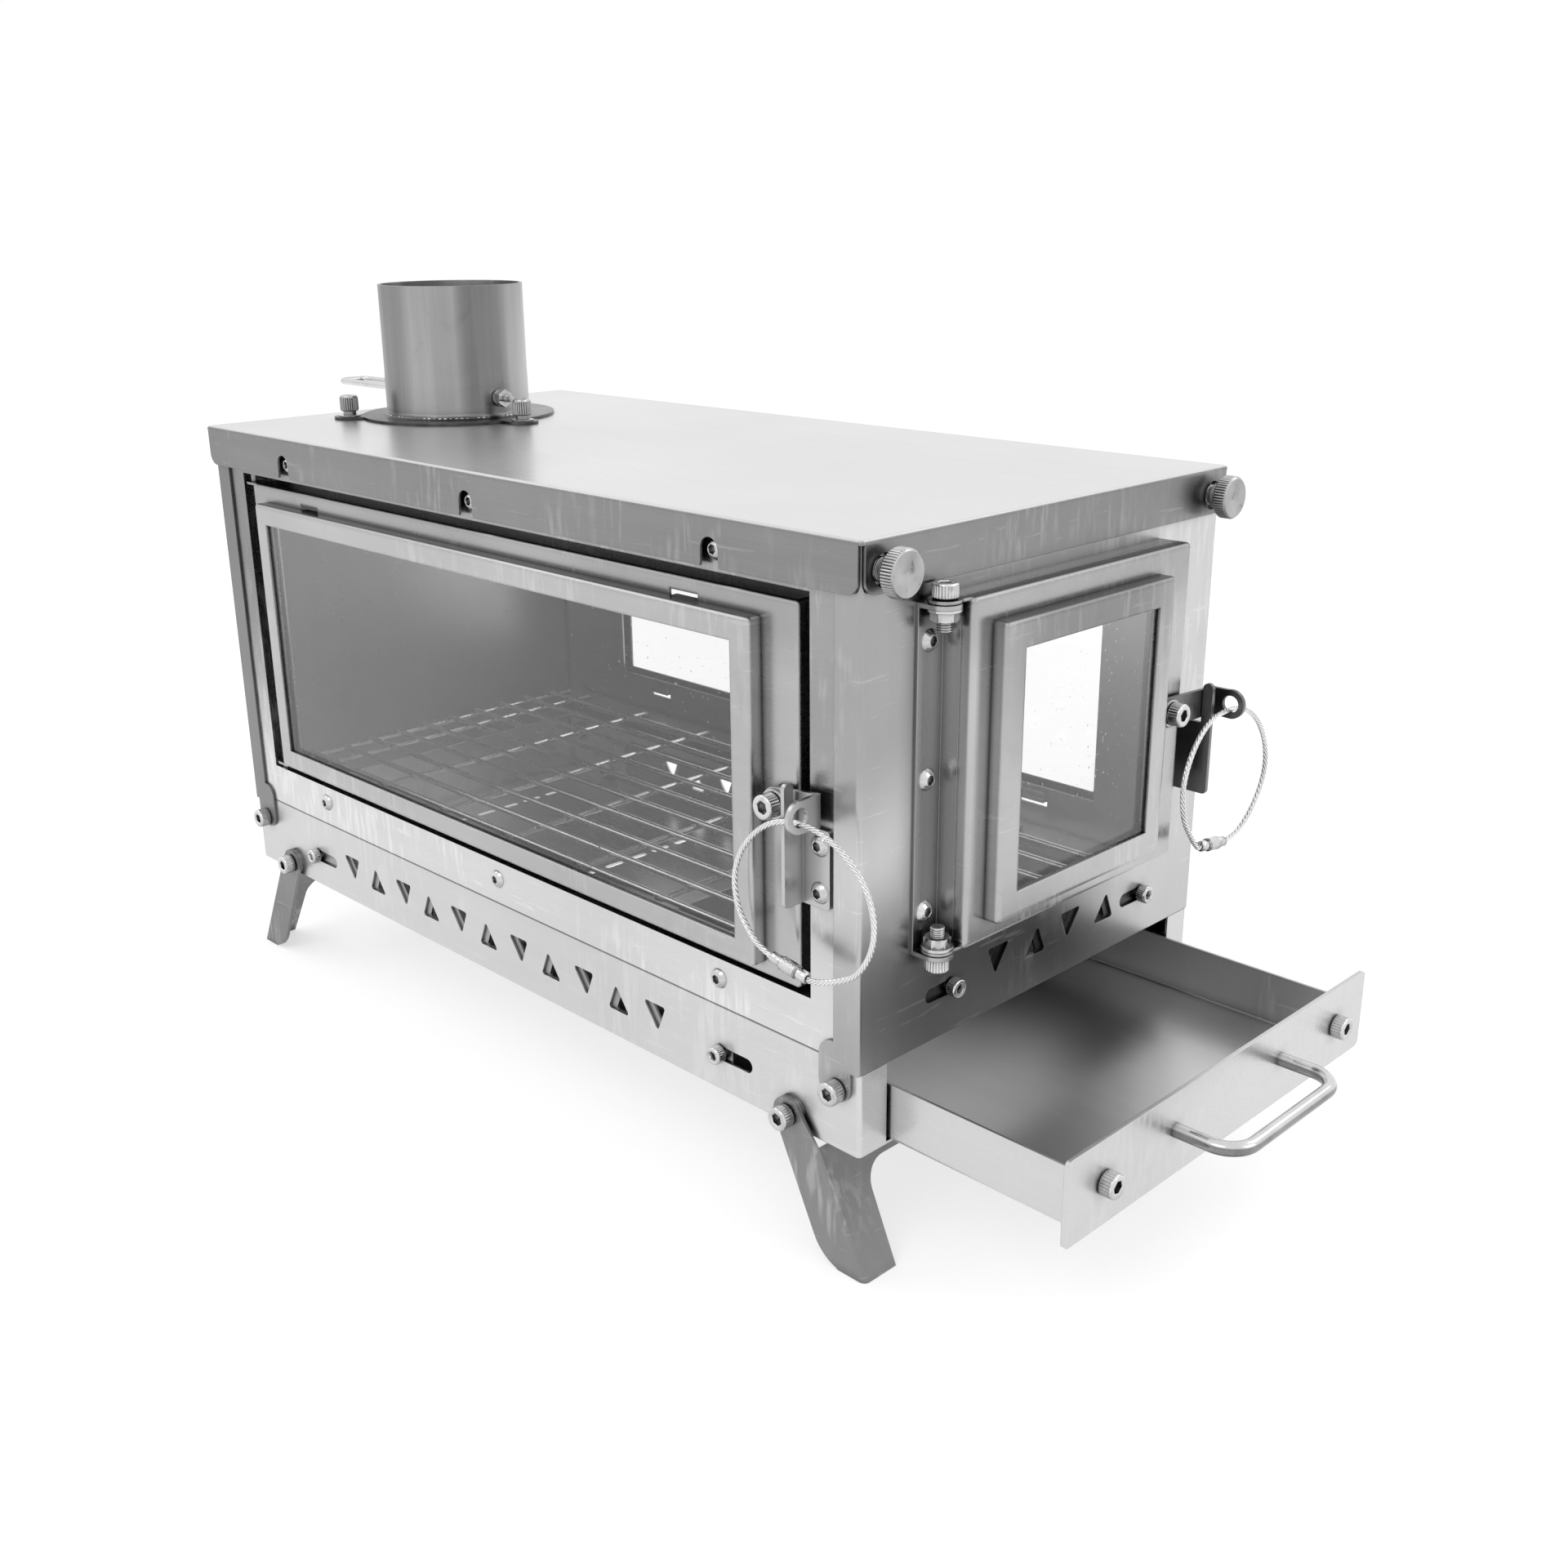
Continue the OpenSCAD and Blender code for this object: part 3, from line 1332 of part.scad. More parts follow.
module end_latch_lever() {
    color("silver") translate([elever_x + play, elatch_y, elatch_z]) on_end()
        lever(earm_l, earm_hi, earm_lo, ehole_up);
}

// Cable ring: a point on a smooth curve through four points
function smooth(a, b, c, d, t) =
    0.5 * ((2 * b) + (c - a) * t + (2 * a - 5 * b + 4 * c - d) * t * t
        + (3 * b - a - 3 * c + d) * t * t * t);
function clasp_dir(c) = [cos(c[2]), sin(c[2])];
function clasp_face(c, s) = [c[0], c[1]] + s * clasp_l / 2 * clasp_dir(c);
// centre line from the clasp's one face round to the other, straight at both ends
function ring_line(route, c) =
    let (d = clasp_dir(c), b0 = clasp_face(c, 1), a0 = clasp_face(c, -1),
        p = concat([b0, b0 + cable_d * d], route, [a0 - cable_d * d, a0]), n = len(p))
    concat([b0], [for (i = [1 : n - 3], k = [0 : ring_steps - 1])
        smooth(p[i - 1], p[i], p[i + 1], p[i + 2], k / ring_steps)],
        [a0 - cable_d * d, a0]);
function line_dir(q, i, c) =
    i <= 1 || i >= len(q) - 2 ? clasp_dir(c) : (q[i + 1] - q[i - 1]) / norm(q[i + 1] - q[i - 1]);

module ring_cable(route, c) {
    q = ring_line(route, c);
    n = len(q);
    m = ring_sides;
    pts = [for (i = [0 : n - 1], k = [0 : m - 1])
        let (d = line_dir(q, i, c), a = (k + 0.5) * 360 / m)
        [q[i][0] - d[1] * cable_r * cos(a), q[i][1] + d[0] * cable_r * cos(a), cable_r * sin(a)]];
    sides = [for (i = [0 : n - 2], k = [0 : m - 1])
        [i * m + k, i * m + (k + 1) % m, (i + 1) * m + (k + 1) % m, (i + 1) * m + k]];
    tris = [for (s = sides) each [[s[0], s[2], s[1]], [s[0], s[3], s[2]]]];
    polyhedron(pts, concat(tris,
        [for (k = [1 : m - 2]) [0, k, k + 1]],
        [for (k = [1 : m - 2]) [(n - 1) * m, (n - 1) * m + k + 1, (n - 1) * m + k]]));
}

module ring_clasp_solid(c) {
    translate([c[0], c[1], 0]) rotate([0, 0, c[2]]) rotate([0, 90, 0]) {
        cylinder(r = clasp_end_r, h = clasp_l, center = true);
        cylinder(r = clasp_r, h = clasp_l * 0.4, center = true);
    }
}

module end_ring_cable() {
    color("silver") translate([ering_x, ering_y, ering_z]) on_end() ring_cable(ering_route, ering_clasp);
}

module end_ring_clasp() {
    color("gainsboro") translate([ering_x, ering_y, ering_z]) on_end() ring_clasp_solid(ering_clasp);
}

module long_ring_cable() {
    color("silver") translate([ring_x, ring_y, ring_z]) on_front() ring_cable(ring_route, ring_clasp);
}

module long_ring_clasp() {
    color("gainsboro") translate([ring_x, ring_y, ring_z]) on_front() ring_clasp_solid(ring_clasp);
}

module long_door_frame() {
    color("silver") difference() {
        union() {
            translate([(door_x0 + door_x1) / 2, door_y, (door_z0 + door_z1) / 2]) on_front()
                pan(door_l, door_h, door_d);
            for (z = [door_z0, door_z1 - sheet_t]) translate([pin_x, pin_y, z]) linear_extrude(sheet_t) {
                circle(pin_ear_r);
                translate([0, -pin_ear_r]) square([pin_out + 2 * bend_r, 2 * pin_ear_r]);
            }
            translate([pin_x, pin_y, door_z1 - sheet_t])
                cylinder(r = pin_r, h = sheet_t + door_up + sheet_t + play);
            translate([pin_x, pin_y, open_lo - sheet_t - play])
                cylinder(r = pin_r, h = 2 * sheet_t + door_low + play);
        }
        translate([ret_x, door_y, ret_z]) on_front() seat_cuts();
        translate([latch_x, door_y, latch_z]) on_front() screw_hole(m5_r);
    }
}

module long_door_retainer() {
    color("silver") translate([ret_x, door_y, ret_z]) on_front() {
        retainer(ret_l, ret_h, bezel);
        retainer_tabs(ret_l, ret_h);
    }
}

module long_door_glass() {
    color("lightcyan") translate([ret_x, door_y, ret_z]) on_front() glass_pane(ret_l, ret_h);
}

module long_door_gasket() {
    color("dimgray") translate([ret_x, door_y, ret_z]) on_front() gasket(ret_l, ret_h);
}

module long_latch_bolt() {
    color("gainsboro") translate([latch_x, door_y, latch_z]) on_front()
        latch_bolt(washer_in + washer_out + plate_t + 2 * play);
}

module long_latch_washers() {
    color("gainsboro") translate([latch_x, door_y, latch_z]) on_front() latch_washers(washer_in);
}

module long_latch_lever() {
    color("silver") translate([latch_x, lever_y - play, latch_z]) on_front()
        lever(arm_l, arm_hi, arm_lo, hole_up);
}

// Slider behind the -Y wall
module long_slider() {
    translate([0, -slider_y, 0]) difference() {
        translate([slider_mid, 0, (slider_z + vent_zz) / 2]) rotate([90, 0, 180])
            linear_extrude(sheet_t) pill(slider_l, slider_h, 2 * bend_r);
        translate([slider_shift, 0, vent_zz]) rotate([90, 0, 0])
            linear_extrude(4 * sheet_t, center = true) vent_row();
        translate([0, slider_y, 0]) at_slider_bolts() screw_hole(m4_r);
    }
}

module front_vent_slider() {
    color("darkgray") long_slider();
}

module back_vent_slider() {
    color("darkgray") mirror([0, 1, 0]) long_slider();
}

module end_vent_slider() {
    color("darkgray") difference() {
        translate([hx - sheet_t - play - sheet_t, 0, (eslot_zz + event_zz) / 2]) on_end()
            linear_extrude(sheet_t) pill(2 * eslider_half, eslider_h, 2 * bend_r);
        translate([hx, -slider_shift, event_zz]) on_end()
            linear_extrude(8 * sheet_t, center = true) end_vent_row();
        at_end_slider_bolts() screw_hole(m4_r);
    }
}

module slider_bolt() {
    translate([0, 0, play]) socket_screw(m4_r, 2 * play + 2 * sheet_t + bevel);
}

module front_slider_bolts() {
    color("gainsboro") at_slider_bolts() slider_bolt();
}

module back_slider_bolts() {
    color("gainsboro") mirror([0, 1, 0]) at_slider_bolts() slider_bolt();
}

module end_slider_bolts() {
    color("gainsboro") at_end_slider_bolts() slider_bolt();
}

// Leg in its own frame: x runs down the leg, y outward, z across the stove
module bail_blank() {
    half = leg_y + plate_t;
    difference() {
        intersection() {
            translate([-eye_r - plate_t, 0, 0]) rotate([90, 0, 90]) linear_extrude(foot_u + 3 * eye_r)
                channel(leg_face, half, leg_face + 2 * leg_back, plate_t, bend_r + plate_t / 2);
            union() {
                cylinder(r = eye_r, h = 2 * half + plate_t, center = true);
                linear_extrude(2 * half + plate_t, center = true)
                    polygon([[0, -eye_r], [0, eye_r], [bar_from, leg_face], [foot_u + toe_r, leg_face],
                        [foot_u + toe_r, leg_face - plate_t], [toe_u, -leg_back]]);
                translate([toe_u, toe_r - leg_back, 0])
                    cylinder(r = toe_r, h = 2 * half + plate_t, center = true);
            }
        }
        // space between the feet, its upper corners round
        translate([0, leg_face + plate_t, 0]) rotate([90, 0, 0]) linear_extrude(3 * plate_t) {
            gap = half - foot_w;
            translate([bar_from + bar_w, foot_fillet - gap]) square([foot_u, 2 * (gap - foot_fillet)]);
            polygon([[bar_from + bar_w + foot_fillet, -gap], [bar_from + bar_w + foot_fillet, gap],
                [foot_u + toe_r, gap + foot_fillet / 4], [foot_u + toe_r, -gap - foot_fillet / 4]]);
            for (i = [-1, 1])
                translate([bar_from + bar_w + foot_fillet, i * (gap - foot_fillet)]) circle(foot_fillet);
        }
        translate([-2 * eye_r, -2 * leg_back, -gap_half()])
            cube([bar_from + 2 * eye_r, 4 * leg_back, 2 * gap_half()]);
        cylinder(r = m5_r + fit, h = 4 * half, center = true);
    }
}

// Half the clear width between a leg's two sides
function gap_half() = leg_y;

module bail() {
    intersection() {
        translate([leg_x, 0, leg_z]) rotate([90, 0, 0]) rotate([0, 0, -leg_a]) bail_blank();
        span([0, top_l], [-top_w, top_w], [ground_z, 0]);
    }
}

module door_end_bail() {
    color("gray") bail();
}

module rear_end_bail() {
    color("gray") mirror([1, 0, 0]) bail();
}

module ash_tray() {
    color("silver") difference() {
        translate([tray_x1 - tray_l / 2, 0, tray_z0]) mirror([0, 0, 1]) pan(tray_l, 2 * tray_y, tray_h);
        at_drawer_screws() screw_hole(m5_r);
        at_handle() screw_hole(m4_r);
    }
}

module at_drawer_screws() {
    for (i = [-1, 1]) translate([tray_x1 + plate_t, i * front_screw_y, base_z + front_screw_up])
        on_end() children();
}

module at_handle() {
    for (i = [-1, 1]) translate([tray_x1 + plate_t, i * rod_y, base_z + rod_up]) on_end() children();
}

module drawer_front() {
    color("silver") difference() {
        translate([tray_x1, 0, base_z + seam + front_h / 2]) on_end() linear_extrude(plate_t)
            pill(2 * front_y, front_h, bend_r + plate_t / 2);
        at_drawer_screws() screw_hole(m5_r);
        at_handle() screw_hole(m4_r);
    }
}

module drawer_handle() {
    color("gainsboro") difference() {
        translate([tray_x1 + plate_t, 0, base_z + rod_up]) rod_u(rod_out, rod_y, rod_bend, rod_r);
        at_handle() screw_hole(m4_r - 2 * bevel);
    }
}

module handle_screws() {
    shank = m4_r - 2 * bevel - fit;
    color("gainsboro") at_handle() mirror([0, 0, 1]) translate([0, 0, plate_t + sheet_t]) {
        button_screw(0);
        translate([0, 0, -plate_t - sheet_t]) cylinder(r = m4_r - bevel, h = plate_t + sheet_t + bevel);
        translate([0, 0, -lip_d]) cylinder(r = shank, h = lip_d + bevel);
    }
}

module drawer_screws() {
    color("gainsboro") at_drawer_screws() {
        socket_screw(m5_r, plate_t + sheet_t + m5_r * nut_tall);
        translate([0, 0, -plate_t - sheet_t - m5_r * nut_tall]) nut(m5_r);
    }
}

base_frame();
drawer_rails();
front_panel();
back_panel();
door_end_panel();
rear_end_panel();
top_plate();
flue_collar();
collar_screws();
thumb_screws();
panel_screws();
tab_screws();
end_jamb();
jamb_screws();
end_hinge_bolts();
end_hinge_nuts();
end_strike();
long_strike();
strike_screws();
back_retainer();
back_glass();
back_gasket();
wire_grate();
grate_rests();
bail_bolts();
damper_spindle();
damper_plate();
damper_nut();
end_door_frame();
end_door_retainer();
end_door_glass();
end_door_gasket();
end_latch_bolt();
end_latch_washers();
end_latch_lever();
end_ring_cable();
end_ring_clasp();
long_door_frame();
long_door_retainer();
long_door_glass();
long_door_gasket();
long_latch_bolt();
long_latch_washers();
long_latch_lever();
long_ring_cable();
long_ring_clasp();
front_vent_slider();
back_vent_slider();
end_vent_slider();
front_slider_bolts();
back_slider_bolts();
end_slider_bolts();
door_end_bail();
rear_end_bail();
ash_tray();
drawer_front();
drawer_handle();
handle_screws();
drawer_screws();
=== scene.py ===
import math

import bmesh
import bpy
from mathutils import Matrix, Vector, noise


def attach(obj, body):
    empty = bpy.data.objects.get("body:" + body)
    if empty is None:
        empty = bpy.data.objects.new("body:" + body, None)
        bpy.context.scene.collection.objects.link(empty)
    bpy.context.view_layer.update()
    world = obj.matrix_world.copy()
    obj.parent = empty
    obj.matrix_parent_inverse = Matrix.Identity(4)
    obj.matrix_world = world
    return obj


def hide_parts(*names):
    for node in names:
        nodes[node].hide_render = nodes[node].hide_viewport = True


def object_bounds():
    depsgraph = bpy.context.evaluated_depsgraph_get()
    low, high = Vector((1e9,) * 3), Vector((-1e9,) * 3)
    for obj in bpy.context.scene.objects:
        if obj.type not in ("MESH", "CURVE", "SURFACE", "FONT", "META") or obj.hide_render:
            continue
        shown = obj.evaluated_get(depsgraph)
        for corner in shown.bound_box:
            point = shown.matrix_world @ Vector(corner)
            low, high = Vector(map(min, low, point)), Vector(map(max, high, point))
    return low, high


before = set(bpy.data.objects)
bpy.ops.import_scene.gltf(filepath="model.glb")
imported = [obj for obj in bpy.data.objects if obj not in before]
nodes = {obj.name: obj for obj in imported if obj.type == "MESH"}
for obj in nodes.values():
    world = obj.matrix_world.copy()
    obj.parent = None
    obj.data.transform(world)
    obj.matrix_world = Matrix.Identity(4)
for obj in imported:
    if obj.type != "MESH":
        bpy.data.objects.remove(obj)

MM = 0.001
cad_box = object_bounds()
scene = bpy.context.scene

X, Y, Z = 0, 1, 2
AX, AY, AZ = Vector((1, 0, 0)), Vector((0, 1, 0)), Vector((0, 0, 1))

# ---------------------------------------------------------------- camera
PHOTO = 1920          # side of the photograph in pixels
FOCAL = 2051.9        # focal length in its pixels
SENSOR = 36.0
CLIP_NEAR, CLIP_FAR = 0.02, 50
AZIMUTH, ELEVATION, ROLL = 45.253, 19.182, -0.489
EYE = Vector((525.1, -454.8, 93.06)) * MM


def make_camera():
    """The photograph's camera, from the angles and the eye above."""
    az, el, roll = (math.radians(v) for v in (AZIMUTH, ELEVATION, ROLL))
    back = Vector((math.sin(az) * math.cos(el), -math.cos(az) * math.cos(el), math.sin(el)))
    right = (-back).cross(AZ).normalized()
    up = right.cross(-back)
    c, s = math.cos(roll), math.sin(roll)
    right, up = c * right + s * up, c * up - s * right
    data = bpy.data.cameras.new("camera")
    data.sensor_fit = "HORIZONTAL"
    data.sensor_width = SENSOR
    data.lens = FOCAL / PHOTO * SENSOR
    data.clip_start, data.clip_end = CLIP_NEAR, CLIP_FAR
    camera = bpy.data.objects.new("camera", data)
    camera.matrix_world = (Matrix.Translation(EYE)
                           @ Matrix((right, up, back)).transposed().to_4x4())
    scene.collection.objects.link(camera)
    scene.camera = camera


make_camera()

# ---------------------------------------------------------------- node helpers
MID = (0.3, 0.7)                 # the middle part of a noise texture's range
BEVEL_RAYS, SEAM_RAYS = 4, 6     # samples of the bevel and the occlusion nodes
SHUT, OPEN = 0.25, 0.9           # occlusion deep in a seam and on an open face


class Shade:
    """A material's node tree, with short calls for the nodes that it uses."""

    def __init__(self, name):
        self.mat = bpy.data.materials.new(name)
        self.mat.use_nodes = True
        self.tree = self.mat.node_tree
        self.tree.nodes.clear()
        self.out = self.node("ShaderNodeOutputMaterial")
        coords = self.node("ShaderNodeTexCoord")
        self.coord, self.normal = coords.outputs["Object"], coords.outputs["Normal"]

    def node(self, kind, **values):
        n = self.tree.nodes.new(kind)
        for key, value in values.items():
            setattr(n, key, value)
        return n

    def put(self, socket, value):
        """Links a socket, or sets its value."""
        if isinstance(value, bpy.types.NodeSocket):
            self.tree.links.new(value, socket)
        else:
            socket.default_value = value

    def fill(self, n, **values):
        """Fills the inputs of a node by their names, with _ for each space."""
        for key, value in values.items():
            self.put(n.inputs[key.replace("_", " ")], value)
        return n

    def stretch(self, scale=(1, 1, 1), turn=(0, 0, 0), move=(0, 0, 0)):
        n = self.node("ShaderNodeMapping")
        self.fill(n, Vector=self.coord, Scale=scale, Rotation=turn, Location=move)
        return n.outputs["Vector"]

    def noise(self, vector, scale, detail=3.0, rough=0.5, distortion=0.0):
        n = self.fill(self.node("ShaderNodeTexNoise"), Vector=vector, Scale=scale,
                      Detail=detail, Roughness=rough, Distortion=distortion)
        return n.outputs["Fac"]

    def drawn(self, along, wide, long, rough, move=(0, 0, 0)):
        """Noise drawn out along one axis: its scale is wide across it and long along it."""
        scale = [wide, wide, wide]
        scale[along] = long
        return self.noise(self.stretch(scale, move=move), 1.0, 2.0, rough)

    def wave(self, vector, scale, distortion):
        n = self.fill(self.node("ShaderNodeTexWave"), Vector=vector, Scale=scale,
                      Distortion=distortion)
        return n.outputs["Fac"]

    def remap(self, value, low, high, to_low, to_high, smooth=False):
        n = self.node("ShaderNodeMapRange")
        if smooth:
            n.interpolation_type = "SMOOTHSTEP"
        self.fill(n, Value=value, From_Min=low, From_Max=high, To_Min=to_low, To_Max=to_high)
        return n.outputs["Result"]

    def ramp(self, value, low, high, to_low, to_high):
        """remap with soft ends."""
        return self.remap(value, low, high, to_low, to_high, smooth=True)

    def math(self, op, a, b=0.0):
        n = self.node("ShaderNodeMath", operation=op)
        self.put(n.inputs[0], a)
        self.put(n.inputs[1], b)
        return n.outputs[0]

    def plus(self, a, b):
        return self.math("ADD", a, b)

    def times(self, a, b):
        return self.math("MULTIPLY", a, b)

    def grey(self, value):
        n = self.node("ShaderNodeCombineColor")
        for socket in list(n.inputs)[:3]:
            self.put(socket, value)
        return n.outputs[0]

    def bump(self, height, strength, distance, normal):
        n = self.fill(self.node("ShaderNodeBump"), Height=height, Strength=strength,
                      Distance=distance, Normal=normal)
        return n.outputs["Normal"]

    def soft_edge(self, radius):
        n = self.fill(self.node("ShaderNodeBevel", samples=BEVEL_RAYS), Radius=radius)
        return n.outputs["Normal"]

    def part(self, vector, k):
        """One of a vector's three numbers."""
        n = self.node("ShaderNodeSeparateXYZ")
        self.put(n.inputs[0], vector)
        return n.outputs[k]

    def axis(self, k):
        """The place on one of the object's own axes, in metres."""
        return self.part(self.coord, k)

    def facing(self, k):
        """The surface normal along one of the object's own axes, -1 to 1."""
        return self.part(self.normal, k)

    def patch(self, centre, inner, outer, keep):
        """Painted shade: keep near a point, 1 far from it."""
        n = self.node("ShaderNodeVectorMath", operation="DISTANCE")
        self.put(n.inputs[0], self.coord)
        self.put(n.inputs[1], centre)
        return self.ramp(n.outputs["Value"], inner, outer, keep, 1.0)

    def seams(self, depth, reach):
        """Painted shade: 1 on open faces, down to 1 - depth in corners and seams."""
        n = self.fill(self.node("ShaderNodeAmbientOcclusion", samples=SEAM_RAYS),
                      Distance=reach)
        return self.remap(n.outputs["AO"], SHUT, OPEN, 1.0 - depth, 1.0)

    def principled(self, **values):
        n = self.fill(self.node("ShaderNodeBsdfPrincipled"), **values)
        self.put(self.out.inputs["Surface"], n.outputs[0])
        return n

    def metal(self, value, gloss, normal):
        """Closes the tree as bare metal."""
        self.principled(Base_Color=self.grey(value), Metallic=1.0, Roughness=gloss,
                        Normal=normal)
        return self.mat


# ---------------------------------------------------------------- metals
DARKEST, PALEST = 0.015, 0.95    # limits of a sheet's grey
FACES_UP = (0.75, 0.95)          # normal's z where painted shade on up faces begins and is full
BAND_CORE = 0.99                 # the normal's share at the middle of a painted shade band
EDGE_SHADE = (0.4 * MM, 0.9 * MM)  # half widths of the painted shade line at an edge and of its fade
EDGE_SHADE_KEEP = 0.25
FILM_GLOSS = 0.12                # roughness that the film's marks add


def film_marks(s):
    """Marks left by a peeled protective film on upright faces: short streaks, long scratches."""
    strokes = s.noise(s.stretch((330, 330, 42), turn=(0.22, 0.16, 0.1)), 1.0, 2.0, 0.6)
    patch = s.noise(s.stretch((15, 15, 11), move=(1.3, 7.7, 2.1)), 1.0, 4.0, 0.7)
    mask = s.times(s.ramp(patch, 0.47, 0.6, 0.0, 1.0), s.ramp(strokes, 0.48, 0.62, 0.0, 1.0))
    lines = s.noise(s.stretch((34, 34, 420), turn=(0.35, 0.5, 0.2), move=(4, 1, 6)),
                    1.0, 3.0, 0.6)
    mask = s.math("MAXIMUM", mask, s.ramp(lines, 0.64, 0.7, 0.0, 0.8))
    return s.times(mask, s.ramp(s.facing(Z), 0.4, 0.8, 1.0, 0.0))


def steel(name, base, rough, along, low=None, band=None, across=Z, smudge=0.04, streak=0.006,
          grain=0.01, residue=0.0, wavy=0.03, edge=0.4 * MM, seam_shade=0.55, reach=5 * MM,
          spots=(), lid=1.0, side_bands=(), rim=None):
    """Sheet steel: a fine grain along one axis, cloudy smudges, rubbed marks, painted seam shade.

    base is its grey, and with a band it falls to low at the band's lower end on the axis across,
    a painted gradient of light and shade. Each of spots is a patch of painted shade: its centre,
    its inner and outer radius and the share of light that it keeps. lid is the share kept by
    faces
    that look up, as painted shade. Each of side_bands is a stripe of painted shade down a tube:
    the way it faces, its width and the share that it keeps. rim is the height of an edge with a
    painted line of shade along it. residue is how much paler the peeled film's marks are. Places
    and lengths are in metres."""
    s = Shade(name)
    brushed = s.drawn(along, 1500.0, 30.0, 0.6)
    streaks = s.drawn(along, 160.0, 7.0, 0.5, move=(3.1, 1.7, 0.4))
    clouds = s.noise(s.coord, 6.0, 3.0, 0.5, 0.4)
    blots = s.noise(s.stretch(move=(5, 2, 8)), 38.0, 4.0, 0.7, 1.0)
    value = s.plus(s.remap(brushed, *MID, -grain, grain), base)
    # painted light and shade: the grey runs from base to low across the band
    if band:
        value = s.plus(value, s.ramp(s.axis(across), *band, low - base, 0.0))
    value = s.plus(value, s.remap(streaks, 0.35, 0.65, -streak, streak))
    value = s.plus(value, s.remap(clouds, *MID, -smudge, smudge))
    value = s.plus(value, s.ramp(blots, 0.55, 0.75, 0.0, -0.6 * smudge))
    # painted shade: darker patches round given points
    for spot in spots:
        value = s.times(value, s.patch(*spot))
    # painted shade: faces that look up are darker
    if lid != 1.0:
        value = s.times(value, s.ramp(s.facing(Z), *FACES_UP, 1.0, lid))
    # painted shade: darker stripes down a tube, on the sides that face given ways
    for east, north, wide, keep in side_bands:
        turn = s.plus(s.times(s.facing(X), east), s.times(s.facing(Y), north))
        value = s.times(value, s.ramp(turn, wide, BAND_CORE, 1.0, keep))
    # painted shade: a dark line along the edge at height rim
    if rim is not None:
        away = s.math("ABSOLUTE", s.math("SUBTRACT", s.axis(Z), rim))
        value = s.times(value, s.remap(away, *EDGE_SHADE, EDGE_SHADE_KEEP, 1.0))
    gloss = s.plus(s.remap(brushed, *MID, -0.02, 0.02), rough)
    gloss = s.plus(gloss, s.remap(clouds, *MID, 0.04, -0.04))
    if residue:
        mask = film_marks(s)
        value = s.plus(value, s.times(mask, residue))
        gloss = s.plus(gloss, s.times(mask, FILM_GLOSS))
    # painted shade: darker in corners and seams, where less light reaches
    value = s.times(value, s.seams(seam_shade, reach))
    value = s.math("MINIMUM", s.math("MAXIMUM", value, DARKEST), PALEST)
    waves = s.noise(s.stretch(move=(2, 9, 4)), 12.0, 1.0, 0.4)
    height = s.plus(s.times(brushed, 0.3), s.times(streaks, 0.2))
    normal = s.bump(height, 0.03, 0.1 * MM, s.bump(waves, wavy, 8 * MM, s.soft_edge(edge)))
    return s.metal(value, gloss, normal)


def rod_metal(name, base, rough, seam_shade=0.6, reach=2 * MM, lines=0.0):
    """Drawn rod or wire: bright, with drawing marks, dull spots and painted shade in recesses.

    lines is the painted highlight along the upper side; the lower side gets painted shade."""
    s = Shade(name)
    spots = s.noise(s.coord, 70.0, 3.0, 0.6)
    marks = s.noise(s.coord, 900.0, 2.0, 0.6)
    value = s.plus(s.remap(spots, 0.35, 0.7, 0.05, -0.08), base)
    value = s.plus(value, s.remap(marks, *MID, -0.02, 0.02))
    # painted highlight on the upper side and painted shade on the lower side
    if lines:
        up = s.facing(Z)
        value = s.plus(value, s.ramp(up, 0.35, 0.65, 0.0, lines))
        value = s.plus(value, s.ramp(up, -0.75, -0.25, -0.7 * lines, 0.0))
    # painted shade: darker in recesses, where less light reaches
    value = s.times(value, s.seams(seam_shade, reach))
    gloss = s.plus(s.remap(spots, 0.35, 0.7, -0.03, 0.08), rough)
    soft = s.fill(s.node("ShaderNodeBump"), Height=spots, Strength=0.05, Distance=0.3 * MM)
    return s.metal(value, gloss, s.bump(marks, 0.04, 0.1 * MM, soft.outputs["Normal"]))


def bright_metal(name, base, rough, seam_shade=0.85, reach=2 * MM):
    """Plated screws and knobs: smooth, with small tarnished specks.

    Painted light and shade: lighter on top, darker below and in recesses.
    """
    s = Shade(name)
    specks = s.noise(s.coord, 300.0, 3.0, 0.6)
    cast = s.noise(s.coord, 90.0, 2.0, 0.5)
    value = s.plus(s.ramp(specks, 0.58, 0.75, 0.0, -0.15), base)
    value = s.plus(value, s.remap(cast, *MID, -0.08, 0.08))
    # painted light and shade: lighter where the face looks up, darker where it looks down
    value = s.plus(value, s.ramp(s.facing(Z), -0.7, 0.7, -0.22, 0.12))
    # painted shade: darker in recesses, where less light reaches
    value = s.times(value, s.seams(seam_shade, reach))
    gloss = s.plus(s.remap(specks, 0.5, 0.75, 0.0, 0.12), rough)
    return s.metal(value, gloss, s.bump(specks, 0.02, 0.2 * MM, s.soft_edge(0.15 * MM)))


